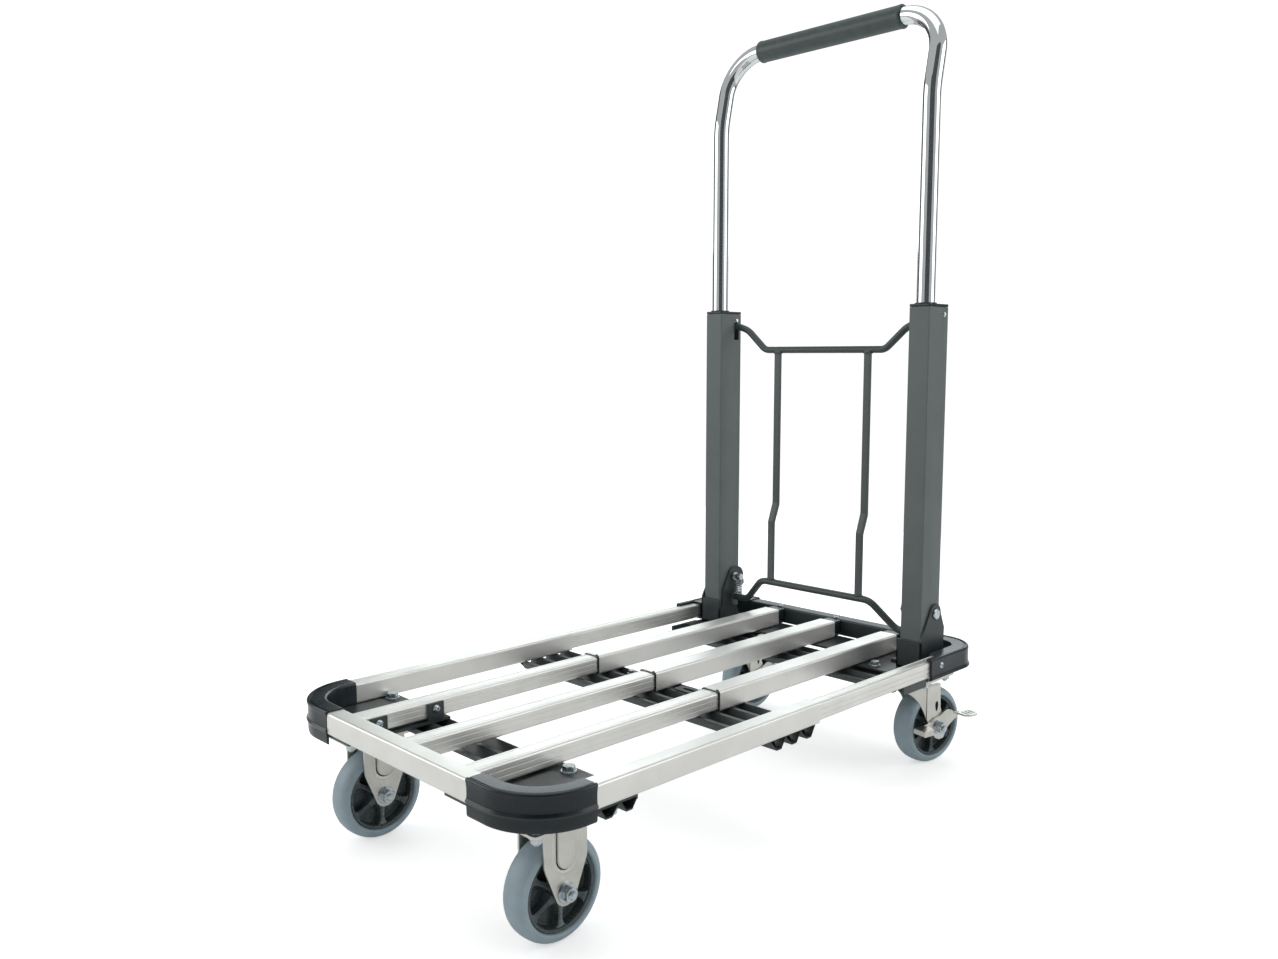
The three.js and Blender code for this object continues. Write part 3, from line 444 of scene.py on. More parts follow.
@dataclass(frozen=True)
class Finish:
    """A finish: two close tones, a roughness band, and a fine relief; sizes in millimetres.

    Fields:
        name: the material's name.
        slot: the record's material slot; not used.
        tone: the main colour.
        second_tone: the colour it drifts to.
        metallic: how metallic it is.
        smooth: roughness where it is smoothest.
        rough: roughness where it is roughest.
        grain: size of the relief's grain.
        stretch: how much longer the grain is along each axis.
        relief: height of the relief.
        drift: size of the patches of the second tone.
        ior: index of refraction, for what isn't metal.
        wear: colour painted onto the outer edges as a highlight.
        wear_amount: how strongly that painted edge highlight shows.
    """

    name: str
    slot: str
    tone: str
    second_tone: str
    metallic: float
    smooth: float
    rough: float
    grain: float
    stretch: tuple[float, float, float] = (1.0, 1.0, 1.0)
    relief: float = 0.02
    drift: float = 20.0
    ior: float = 1.5
    # Painted highlight: the colour and strength with which the outer edges are painted lighter.
    wear: str = "#FFFFFF"
    wear_amount: float = 0.0

    def build(self) -> bpy.types.Material:
        """Makes the material."""
        material = bpy.data.materials.new(self.name)
        material.use_nodes = True
        tree = material.node_tree
        shader = tree.nodes["Principled BSDF"]
        shader.inputs["Metallic"].default_value = self.metallic
        if self.metallic < 0.5:
            shader.inputs["IOR"].default_value = self.ior
        place = add_node(tree, "ShaderNodeTexCoord", {}).outputs["Object"]
        grain_scale = [per_metre(self.grain * along) for along in self.stretch]
        grain_place = add_node(tree, "ShaderNodeMapping", {"Vector": place, "Scale": grain_scale})
        grain = add_node(
            tree,
            "ShaderNodeTexNoise",
            {"Vector": grain_place.outputs["Vector"], "Scale": 1.0, "Detail": 3.0},
        ).outputs["Fac"]
        patches = add_node(
            tree,
            "ShaderNodeTexNoise",
            {"Vector": place, "Scale": per_metre(self.drift), "Detail": 4.0, "Roughness": 0.6},
        ).outputs["Fac"]
        spread = add_node(
            tree,
            "ShaderNodeMapRange",
            {"Value": patches, "From Min": 0.35, "From Max": 0.65},
            interpolation_type="SMOOTHSTEP",
        ).outputs["Result"]
        colour = add_node(
            tree,
            "ShaderNodeMix",
            {"Factor": spread, 6: linear(self.tone), 7: linear(self.second_tone)},
            data_type="RGBA",
        ).outputs[2]
        # Painted highlight: the outer edges are painted lighter, standing in for the light that
        # catches them.
        if self.wear_amount > 0:
            colour = self.add_wear(tree, colour, grain)
        tree.links.new(colour, shader.inputs["Base Color"])
        mixed = add_node(
            tree, "ShaderNodeMath", {0: grain, 1: patches}, operation="ADD"
        ).outputs["Value"]
        roughness = add_node(
            tree,
            "ShaderNodeMapRange",
            {
                "Value": mixed,
                "From Min": 0.7,
                "From Max": 1.3,
                "To Min": self.smooth,
                "To Max": self.rough,
            },
        ).outputs["Result"]
        tree.links.new(roughness, shader.inputs["Roughness"])
        bump = add_node(
            tree,
            "ShaderNodeBump",
            {"Height": grain, "Strength": 0.6, "Distance": self.relief * MM},
        ).outputs["Normal"]
        tree.links.new(bump, shader.inputs["Normal"])
        return material

    def add_wear(
        self, tree: bpy.types.NodeTree, colour: bpy.types.NodeSocket, grain: bpy.types.NodeSocket
    ) -> bpy.types.NodeSocket:
        """Paints a highlight onto the outer edges, in the painted edge highlight colour.

        Args:
            tree: the material's tree.
            colour: the colour so far.
            grain: the grain, which breaks the painted edge highlight up.

        Returns:
            The new colour.
        """
        # Pointiness picks out the outer edges, which are painted lighter as a highlight.
        edges = add_node(tree, "ShaderNodeNewGeometry", {}).outputs["Pointiness"]
        painted_edge_mask = add_node(
            tree,
            "ShaderNodeMapRange",
            {"Value": edges, "From Min": 0.51, "From Max": 0.6, "To Max": self.wear_amount},
        ).outputs["Result"]
        broken = add_node(
            tree, "ShaderNodeMath", {0: painted_edge_mask, 1: grain}, operation="MULTIPLY"
        ).outputs["Value"]
        return add_node(
            tree,
            "ShaderNodeMix",
            {"Factor": broken, 6: colour, 7: linear(self.wear)},
            data_type="RGBA",
        ).outputs[2]


# Extruded 6063 aluminium, clear anodised: a pale satin metal with faint lines along its length
# where it was drawn through the die.
LENGTHWISE_ALUMINIUM = Finish(
    name="anodised_extruded_aluminium_lengthwise",
    slot="anodised_aluminium",
    tone="#F1F0EC", second_tone="#EBEAE6",
    metallic=0.74, smooth=0.36, rough=0.46, grain=0.5,
    stretch=(1.0, 300.0, 1.0), relief=0.005, drift=60.0,
)

# The same extrusion laid across the cart, so its die lines run the other way.
CROSSWISE_ALUMINIUM = replace(
    LENGTHWISE_ALUMINIUM,
    name="anodised_extruded_aluminium_crosswise",
    tone="#F2F1EC", second_tone="#ECEBE6",
    stretch=(300.0, 1.0, 1.0),
)

# Mild steel with a black satin powder coat: an even skin with the soft pebbling of melted powder.
BLACK_POWDER_COAT = Finish(
    name="black_powder_coated_steel",
    slot="black_painted_steel",
    tone="#252C2D", second_tone="#2A3233",
    metallic=0.0, smooth=0.3, rough=0.44, grain=1.1,
    relief=0.03, drift=30.0,
    # The outer edges are painted lighter as a painted highlight.
    wear="#6C7578", wear_amount=0.5,
)

# Mild steel tube with a dark grey fine-textured powder coat: slightly lighter and drier.
GREY_POWDER_COAT = Finish(
    name="grey_fine_textured_powder_coated_steel",
    slot="grey_painted_steel",
    tone="#565D5D", second_tone="#5C6463",
    metallic=0.0, smooth=0.38, rough=0.52, grain=0.8,
    relief=0.035, drift=60.0,
    # The outer edges are painted lighter as a painted highlight.
    wear="#7E8886", wear_amount=0.4,
)

# The same grey powder coat on the thin rods, with its tone painted darker as painted shade, and a
# little glossier.
SHADED_GREY_POWDER_COAT = Finish(
    name="dark_grey_powder_coated_rod",
    slot="grey_painted_steel",
    tone="#363F3F", second_tone="#3D4646",
    metallic=0.0, smooth=0.3, rough=0.42, grain=0.8,
    relief=0.03, drift=60.0,
    # The outer edges are painted lighter as a painted highlight.
    wear="#7E8886", wear_amount=0.4,
)

# Injection moulded polypropylene from a spark-eroded mould: a fine matt texture that shines softly.
MOULDED_PLASTIC = Finish(
    name="moulded_black_polypropylene",
    slot="black_plastic",
    tone="#121B1F", second_tone="#162024",
    metallic=0.0, smooth=0.2, rough=0.3, grain=0.7,
    relief=0.02, drift=25.0, ior=1.43,
    # The outer edges are painted lighter as a painted highlight.
    wear="#66727A", wear_amount=0.35,
)

# Polypropylene from a polished mould: the hubs are darker and glossier than the corners.
GLOSSY_PLASTIC = Finish(
    name="polished_mould_black_polypropylene",
    slot="black_plastic",
    tone="#343D3F", second_tone="#3B4547",
    metallic=0.0, smooth=0.22, rough=0.32, grain=3.0,
    relief=0.008, drift=12.0, ior=1.43,
    # The outer edges, such as the spokes' edges, are painted lighter as a painted highlight.
    wear="#9FABAD", wear_amount=0.7,
)

# Thermoplastic rubber, moulded: a dry blue-grey with a faint bloom.
GREY_RUBBER = Finish(
    name="moulded_grey_thermoplastic_rubber",
    slot="grey_rubber",
    tone="#93A5AE", second_tone="#9BADB6",
    metallic=0.0, smooth=0.36, rough=0.5, grain=0.9,
    relief=0.04, drift=14.0, ior=1.52,
)

# Pressed steel with clear zinc plate: bright, slightly milky, with the sheet's rolling lines.
ZINC_SHEET = Finish(
    name="clear_zinc_plated_pressed_steel",
    slot="zinc_plated_steel",
    tone="#DAD8D2", second_tone="#CFCDC7",
    metallic=1.0, smooth=0.26, rough=0.36, grain=0.6,
    stretch=(1.0, 1.0, 60.0), relief=0.006, drift=30.0,
)

# Turned and headed fasteners with blue passivated zinc: cooler and shinier than the sheet.
ZINC_FASTENER = Finish(
    name="blue_passivated_zinc_fastener",
    slot="zinc_plated_steel",
    tone="#D2D9DC", second_tone="#BAC5CC",
    metallic=1.0, smooth=0.2, rough=0.34, grain=0.5,
    relief=0.01, drift=4.0,
)

# Drawn steel tube, polished and chrome plated: a near mirror with the faintest draw lines.
CHROME = Finish(
    name="polished_chrome_plated_tube",
    slot="chrome_plated_steel",
    tone="#E6E9EA", second_tone="#DFE3E5",
    metallic=1.0, smooth=0.035, rough=0.075, grain=0.5,
    stretch=(1.0, 1.0, 90.0), relief=0.002, drift=60.0,
)

# Closed-cell nitrile foam sleeve, skinned by its mould: soft, dark and finely pebbled.
FOAM = Finish(
    name="skinned_nitrile_foam",
    slot="foam_grip",
    tone="#3F4949", second_tone="#465151",
    metallic=0.0, smooth=0.34, rough=0.46, grain=0.9,
    relief=0.035, drift=12.0,
)


# ---------------------------------------------------------------- the shop


@dataclass
class Shop:
    """Places finished pieces in the scene.

    Fields:
        front_y: the front beam's front face in the row frame, in metres.
        materials: the materials made so far, by name.
        count: how many pieces there are.
    """

    frame: dict[str, Any]
    front_y: float = 0.0
    materials: dict[str, bpy.types.Material] = field(default_factory=dict)
    count: int = 0

    def __post_init__(self) -> None:
        """Finds the front face that y is counted from."""
        self.front_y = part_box("front_beam")[0].y

    def material(self, finish: Finish) -> bpy.types.Material:
        """The material of a finish, made once."""
        if finish.name not in self.materials:
            self.materials[finish.name] = finish.build()
        return self.materials[finish.name]

    def span(self, node: str) -> tuple[Point2, Point2, Point2]:
        """A CAD node's box in cart millimetres, as (low, high) along x, y and z."""
        low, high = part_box(node)
        return (
            (low.x / MM, high.x / MM),
            ((low.y - self.front_y) / MM, (high.y - self.front_y) / MM),
            (low.z / MM, high.z / MM),
        )

    def joint(self, name: str) -> dict[str, Any]:
        """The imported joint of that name."""
        return next(joint for joint in self.frame["joints"] if joint["name"] == name)

    def joint_point(self, name: str) -> Vector:
        """A point on a joint's axis in cart millimetres."""
        x, y, z = self.joint(name)["pos_m"]
        return Vector((x / MM, (y - self.front_y) / MM, z / MM))

    def refined(self, node: str, edge: float) -> Form:
        """A CAD node's own shape with clean faces and rounded edges.

        Args:
            node: the CAD node.
            edge: radius of the rounded edges.

        Returns:
            The form, in cart millimetres.
        """
        form = Form()
        form.mesh.from_mesh(self.frame["nodes"][node].data)
        shift = Matrix.Translation((0, -self.front_y, 0))
        form.mesh.transform(Matrix.Scale(1 / MM, 4) @ shift)
        bmesh.ops.remove_doubles(form.mesh, verts=form.mesh.verts, dist=0.01)
        bmesh.ops.dissolve_limit(
            form.mesh,
            angle_limit=math.radians(1),
            verts=form.mesh.verts,
            edges=form.mesh.edges,
        )
        sharp = []
        for rim in form.mesh.edges:
            if rim.is_manifold and rim.calc_face_angle(0.0) > math.radians(25):
                sharp.append(rim)
        bmesh.ops.bevel(
            form.mesh,
            geom=sharp,
            offset=edge,
            segments=2,
            profile=0.6,
            affect="EDGES",
            clamp_overlap=True,
        )
        return form

    def add(
        self,
        name: str,
        form: Form,
        finish: Finish,
        body: str,
        replaces: Sequence[str] = (),
        smooth: float = 34.0,
    ) -> bpy.types.Object:
        """Puts a form in the scene as a piece of the cart.

        Args:
            name: the piece's name.
            form: its shape.
            finish: its finish.
            body: the CAD body that it rides on.
            replaces: CAD nodes that it stands for.
            smooth: edges flatter than this many degrees are shaded smooth.

        Returns:
            The new object.
        """
        bmesh.ops.remove_doubles(form.mesh, verts=form.mesh.verts, dist=0.002)
        bmesh.ops.recalc_face_normals(form.mesh, faces=form.mesh.faces)
        to_row = Matrix.Translation((0, self.front_y, 0)) @ Matrix.Scale(MM, 4)
        form.mesh.transform(to_row)
        mesh = bpy.data.meshes.new(name)
        form.mesh.to_mesh(mesh)
        form.mesh.free()
        mesh.shade_smooth()
        mesh.set_sharp_from_angle(angle=math.radians(smooth))
        mesh.materials.append(self.material(finish))
        piece = bpy.data.objects.new(name, mesh)
        bpy.context.scene.collection.objects.link(piece)
        flats = piece.modifiers.new("flat_faces", "WEIGHTED_NORMAL")
        flats.keep_sharp = True
        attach(piece, body)
        if replaces:
            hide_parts(*replaces)
        self.count += 1
        return piece


# ---------------------------------------------------------------- fasteners


WASHER = 1.4
WASHER_GAP = 0.1


def washer(form: Form, place: Matrix, radius: float) -> None:
    """Adds a washer with a broken upper edge."""
    broken = 0.3
    profile = [(radius, 0.0), (radius, WASHER - broken), (radius - broken, WASHER)]
    form.lathe(profile, place, segments=40)


def hex_bolt(form: Form, place: Matrix, across: float = 13.0) -> Form:
    """Adds a hexagon bolt head on a washer, standing on its placement.

    Args:
        form: the form that takes the head.
        place: the seat, with z along the bolt.
        across: width across the flats.

    Returns:
        The form.
    """
    washer(form, place, across * 0.72)
    seat = WASHER + WASHER_GAP
    height = across * 0.42
    form.hexagon(across, height, place @ Matrix.Translation((0, 0, seat)))
    crown = across * 0.38
    top = seat + height
    form.lathe([(crown, top + 0.02), (crown - 0.5, top + 0.35)], place, segments=32)
    return form


def stud_nut(form: Form, place: Matrix, across: float = 13.0) -> Form:
    """Adds a nut on a washer with the bolt's threaded end through it."""
    washer(form, place, across * 0.74)
    seat = WASHER + WASHER_GAP
    height = across * 0.46
    threads_out = 2.5
    form.hexagon(across, height, place @ Matrix.Translation((0, 0, seat)))
    form.thread(across * 0.6, seat + height + 0.05, seat + height + threads_out, place)
    return form


def socket_screw(form: Form, place: Matrix, radius: float = 4.5) -> Form:
    """Adds a domed screw head with a hexagon socket in it.

    Args:
        form: the form that takes the head.
        place: the seat, with z along the screw.
        radius: the head's radius.

    Returns:
        The form.
    """
    steps = 36
    key = radius * 0.95
    dome = [(1.0, 0.0), (1.0, 0.18), (0.93, 0.36), (0.78, 0.52), (0.6, 0.6)]
    rings = []
    for share, height in dome:
        ring = circle(radius * share, steps=steps)
        rings.append([place @ Vector((u, v, radius * height)) for u, v in ring])
    for height in (0.6, 0.2):
        ring = []
        for angle in turns(steps):
            reach = hexagon_radius(angle, key)
            ring.append(
                place @ Vector((reach * math.cos(angle), reach * math.sin(angle), radius * height))
            )
        rings.append(ring)
    return form.add_rings(rings)


# ---------------------------------------------------------------- deck


@dataclass
class DeckExtrusions:
    """The aluminium rails, tubes and beams of the deck, and what closes their ends.

    Fields:
        wall: wall thickness of every extrusion.
        corner: radius of the outer corners.
        groove_width: width of a groove.
        groove_depth: depth of a groove.
        side_grooves: where the grooves of a side are, as shares of its height.
        top_grooves: where the grooves of the top are, as shares of its width.
        bush_depth: how far the black bush stands out of a wide tube's mouth.
        columns: the three lengthwise tubes.
    """

    shop: Shop
    wall: float = 1.4
    corner: float = 2.6
    groove_width: float = 1.9
    groove_depth: float = 0.55
    side_grooves: Point2 = (0.36, 0.66)
    top_grooves: Point2 = (0.22, 0.78)
    bush_depth: float = 1.6
    columns: tuple[str, ...] = ("left", "middle", "right")

    def notch(self, start: Point2, end: Point2, middle: float) -> Outline:
        """The four points of one groove on the straight from start to end.

        Args:
            start: a corner of the face.
            end: the face's other corner, anticlockwise.
            middle: the groove's middle, in millimetres from start.

        Returns:
            The groove's points in order.
        """
        run = Vector(end) - Vector(start)
        along = run.normalized()
        inward = Vector((-along.y, along.x))
        points = []
        for offset, depth in ((-0.5, 0.0), (-0.3, 1.0), (0.3, 1.0), (0.5, 0.0)):
            point = Vector(start) + along * (middle + offset * self.groove_width)
            point += inward * self.groove_depth * depth
            points.append((point.x, point.y))
        return points

    def section(self, u: Point2, v: Point2, grooved: bool) -> list[Outline]:
        """Outer and inner outline of an extrusion.

        Args:
            u: its low and high side.
            v: its low and high face.
            grooved: whether its top and sides carry grooves.

        Returns:
            The two outlines.
        """
        r = self.corner
        right, top, left, bottom = (u[1], v[0]), (u[1], v[1]), (u[0], v[1]), (u[0], v[0])
        faces = [
            (right, top, (u[1] - r, v[0] + r), self.side_grooves),
            (top, left, (u[1] - r, v[1] - r), self.top_grooves),
            (left, bottom, (u[0] + r, v[1] - r), self.side_grooves),
            (bottom, right, (u[0] + r, v[0] + r), ()),
        ]
        outer: Outline = []
        for i, (start, end, centre, shares) in enumerate(faces):
            outer += arc(centre, r, 90 * i - 90, 90 * i, 5)
            length = math.dist(start, end)
            for share in shares if grooved else ():
                outer += self.notch(start, end, length * share)
        inner = rounded_rectangle(
            (u[0] + self.wall, u[1] - self.wall),
            (v[0] + self.wall, v[1] - self.wall),
            r - self.wall,
        )
        return [outer, inner]

    def run_lengthwise(self, node: str, body: str, grooved: bool) -> None:
        """Builds one tube or rail that runs along the cart."""
        x, y, z = self.shop.span(node)
        form = Form().plate(self.section(x, z, grooved), y[0], y[1], Axis.Y, 0.25)
        self.shop.add(f"{node}_extrusion", form, LENGTHWISE_ALUMINIUM, body, [node])

    def run_crosswise(self, node: str, body: str, finish: Finish) -> None:
        """Builds one beam that runs across the cart."""
        x, y, z = self.shop.span(node)
        form = Form().plate(self.section(y, z, False), x[0], x[1], Axis.X, 0.25)
        self.shop.add(f"{node}_extrusion", form, finish, body, [node])

    def mouth_bush(self, column: str) -> None:
        """The black bush in the mouth of a wide tube, with its button on top."""
        x, y, z = self.shop.span(f"rear_tube_{column}")
        slim_x, _, slim_z = self.shop.span(f"front_tube_{column}")
        gap = 0.25
        set_in = 0.3
        lip = 0.9
        outer = rounded_rectangle(
            (x[0] + set_in, x[1] - set_in), (z[0] + set_in, slim_z[1] + lip), 1.6
        )
        inner = rounded_rectangle(
            (slim_x[0] - gap, slim_x[1] + gap), (slim_z[0] - gap, slim_z[1] + gap), 2.4
        )
        form = Form().plate([outer, inner], y[0] - self.bush_depth, y[0] - 0.02, Axis.Y, 0.3)
        self.shop.add(f"tube_mouth_bush_{column}", form, MOULDED_PLASTIC, "rear_deck")
        button = Form()
        seat = axis_matrix((x[1] - 3.4, y[0] - 1.4, slim_z[1]), (0, 0, 1))
        button.lathe([(1.7, -0.6), (1.7, 2.6), (1.3, 3.2), (0.6, 3.4)], seat, segments=24)
        self.shop.add(f"tube_button_{column}", button, GLOSSY_PLASTIC, "rear_deck")

    def end_plug(self, column: str) -> None:
        """The black plug between a wide tube and the rear beam, with its screw in the beam."""
        node = f"rear_tube_plug_{column}"
        x, y, z = self.shop.span(node)
        tube_y = self.shop.span(f"rear_tube_{column}")[1]
        collar = rounded_rectangle(x, z, self.corner)
        stem = rounded_rectangle((x[0] + 1, x[1] - 1), (z[0] + 1, z[1] - 1), 1.6)
        form = Form().plate([collar], tube_y[1] + 0.3, y[1], Axis.Y, 0.5)
        form.plate([stem], y[0], tube_y[1] + 0.6, Axis.Y, 0.5)
        self.shop.add(f"{node}_moulding", form, MOULDED_PLASTIC, "rear_deck", [node])
        beam_y = self.shop.span("rear_beam")[1]
        beam_z = self.shop.span("rear_beam")[2]
        screw = Form()
        seat = axis_matrix(((x[0] + x[1]) / 2, beam_y[0] + 5.0, beam_z[1]), (0, 0, 1))
        socket_screw(screw, seat, 4.0)
        self.shop.add(f"rear_beam_screw_{column}", screw, ZINC_FASTENER, "rear_deck")

    def build(self) -> None:
        """Builds every extrusion."""
        for side in Side:
            self.run_lengthwise(f"front_side_rail_{side.word}", "front_deck", False)
            self.run_lengthwise(f"rear_side_rail_{side.word}", "rear_deck", True)
        for column in self.columns:
            self.run_lengthwise(f"front_tube_{column}", "front_deck", True)
            self.run_lengthwise(f"rear_tube_{column}", "rear_deck", False)
            self.mouth_bush(column)
            self.end_plug(column)
        self.run_crosswise("front_beam", "front_deck", CROSSWISE_ALUMINIUM)
        self.run_crosswise("rear_beam", "rear_deck", BLACK_POWDER_COAT)


# The corners' skins, as (outward, upward) steps from an edge of the cover.
FRONT_SKIRT = ((-3.5, 0.4), (-3.1, 0.0), (-2.3, 0.0), (-1.5, 0.7), (-1.0, 2.4))
FRONT_RIDGE = (
    (-0.7, -3.4), (-0.3, -1.6), (0.5, -0.4), (0.75, 0.2),
    (0.4, 1.0), (-0.6, 2.2), (-1.0, 3.4), (-1.2, 6.0),
)
FRONT_RIM = (
    (-0.6, -4.6), (-0.1, -2.8), (0.0, -2.0), (-0.3, -1.2), (-0.9, -0.4), (-1.7, 0.0),
    (-2.7, 0.0), (-3.2, -0.6), (-3.4, -1.7), (-4.4, -1.7), (-4.7, -0.9), (-5.4, -0.5),
)
FRONT_INSIDE = ((3.0, -0.5), (1.3, -0.8), (0.4, -1.6), (0.0, -3.0))
REAR_FOOT = ((-0.4, 0.0), (0.0, 0.5), (-0.1, 1.6))
REAR_WAIST = ((0.7, 3.2), (0.1, 6.0))
REAR_RIM = ((0.0, -4.0), (0.0, -2.2), (-0.4, -1.0), (-1.1, -0.3), (-2.0, 0.0))
REAR_LIP = ((-3.2, 0.0), (-3.7, -0.6), (-3.9, -1.6), (-5.0, -1.6), (-5.3, -0.8))
REAR_INSIDE = ((3.0, -0.5), (0.9, -1.0), (0.0, -2.6))


@dataclass
class CornerCovers:
    """The moulded corners of the deck, swept round their bends.

    Fields:
        wall: depth of a corner over the rail, from its outer to its inner side.
        front_radius: outer radius of a front corner.
        rear_radius: outer radius of a rear corner.
        spigot_clear: gap between a rail's outside and the spigot that plugs it.
        steps: stations round each bend.
    """

    shop: Shop
    wall: float = 21.5
    front_radius: float = 65.5
    rear_radius: float = 44.0
    spigot_clear: float = 1.9
    steps: int = 28

    def swept(
        self, profile: Outline, centre: Point2, side_end: float, beam_end: float, facing: int
    ) -> Form:
        """A profile run along the side, round the bend and along the beam.

        Args:
            profile: closed (offset from the bend's centre, height) points.
            centre: the bend's centre.
            side_end: y where the side leg ends.
            beam_end: x where the beam leg ends.
            facing: -1 for a front corner and 1 for a rear one.

        Returns:
            The form on the right side.
        """
        stations: list[tuple[Point2, Point2]] = [((centre[0], side_end), (1.0, 0.0))]
        for i in range(self.steps + 1):
            angle = math.pi / 2 * i / self.steps
            stations.append((centre, (math.cos(angle), facing * math.sin(angle))))
        stations.append(((beam_end, centre[1]), (0.0, float(facing))))
        rings = []
        for (x, y), (out_x, out_y) in stations:
            rings.append([Vector((x + out_x * o, y + out_y * o, z)) for o, z in profile])
        return Form().add_rings(rings)

    def spigots(
        self,
        form: Form,
        rail: tuple[Point2, Point2],
        beam: tuple[Point2, Point2],
        rail_z: Point2,
        radius: float,
    ) -> None:
        """Adds the two spigots that plug a corner into its rail and its beam.

        Args:
            form: the corner.
            rail: the rail's two sides in x, and where its spigot runs in y.
            beam: the beam's two sides in y, and where its spigot runs in x.
            rail_z: bottom and top of rail and beam.
            radius: radius of the spigots' corners.
        """
        clear = self.spigot_clear
        height = (rail_z[0] + clear, rail_z[1] - clear)
        for (sides, run), axis in ((rail, Axis.Y), (beam, Axis.X)):
            wide = (sides[0] + clear, sides[1] - clear)
            form.plate([rounded_rectangle(wide, height, radius)], run[0], run[1], axis)

    def front(self, side: Side) -> None:
        """Builds one front corner with its lip, shadow groove, ridge and skirt."""
        node = f"front_corner_{side.word}"
        x, y, z = self.shop.span("front_corner_right")
        rail_z = self.shop.span("front_side_rail_right")[2]
        rail_y = self.shop.span("front_side_rail_right")[1]
        beam_x = self.shop.span("front_beam")[0]
        outer = self.front_radius
        inner = outer - self.wall
        centre = (x[1] - 0.8 - outer, y[0] + 0.8 + outer)
        top = z[1]
        floor = rail_z[0]
        ridge = floor + 4.0
        profile = [
            (inner, floor), (outer - 3.5, floor), *shifted(FRONT_SKIRT, outer, z[0]),
            *shifted(FRONT_RIDGE, outer, ridge), (outer - 1.1, (ridge + top) / 2 + 2.0),
            *shifted(FRONT_RIM, outer, top), *shifted(FRONT_INSIDE, inner, top),
        ]
        form = self.swept(profile, centre, rail_y[0] - 0.3, beam_x[1] + 0.3, -1)
        rail = (self.shop.span("front_side_rail_right")[0], (rail_y[0] - 4, y[1]))
        beam = (self.shop.span("front_beam")[1], (x[0], beam_x[1] + 4))
        self.spigots(form, rail, beam, rail_z, 1.2)
        self.shop.add(f"{node}_moulding", form.on_side(side), MOULDED_PLASTIC, "front_deck", [node])

    def rear(self, side: Side) -> None:
        """Builds one rear corner with the stepped sleeve over the rail and its screw."""
        node = f"rear_corner_{side.word}"
        x, y, z = self.shop.span("rear_corner_right")
        rail_x, rail_y, rail_z = self.shop.span("rear_side_rail_right")
        beam_x, beam_y, _ = self.shop.span("rear_beam")
        flare = 1.8
        outer = self.rear_radius
        inner = outer - self.wall
        centre = (x[1] - flare - outer, y[1] - flare - outer)
        low = z[0]
        top = z[1]
        skin = [
            *shifted(REAR_FOOT, outer + flare, low), *shifted(REAR_WAIST, outer, low),
            (outer - 0.2, (low + top) / 2), *shifted(REAR_RIM, outer, top),
        ]
        body = [
            (inner, low),
            *skin,
            *shifted(REAR_LIP, outer, top),
            *shifted(REAR_INSIDE, inner, top),
        ]
        full_from = rail_y[1] + 0.3
        form = self.swept(body, centre, full_from, beam_x[1] + 0.3, 1)
        rail_face = rail_x[1] + 0.35 - centre[0]
        rail_top = rail_z[1] + 0.35
        sleeve = [
            (rail_face, low),
            *skin,
            (rail_face - 4.2, top), (rail_face - 5.0, top - 0.8), (rail_face - 5.0, rail_top),
            (rail_face, rail_top),
        ]
        form.plate([shifted(sleeve, centre[0], 0.0)], y[0], full_from + 0.5, Axis.Y, 0.25)
        rail = (rail_x, (full_from - 14, full_from + 4))
        self.spigots(form, rail, (beam_y, (x[0], beam_x[1] + 4)), rail_z, 1.0)
        self.shop.add(f"{node}_moulding", form.on_side(side), MOULDED_PLASTIC, "rear_deck", [node])
        screw = Form()
        seat = axis_matrix((centre[0] + outer - 0.9, y[0] + 22, low + 14.5), (1, 0, 0))
        socket_screw(screw, seat, 4.2)
        self.shop.add(f"{node}_screw", screw.on_side(side), ZINC_FASTENER, "rear_deck")

    def build(self) -> None:
        """Builds the four corners."""
        for side in Side:
            self.front(side)
            self.rear(side)


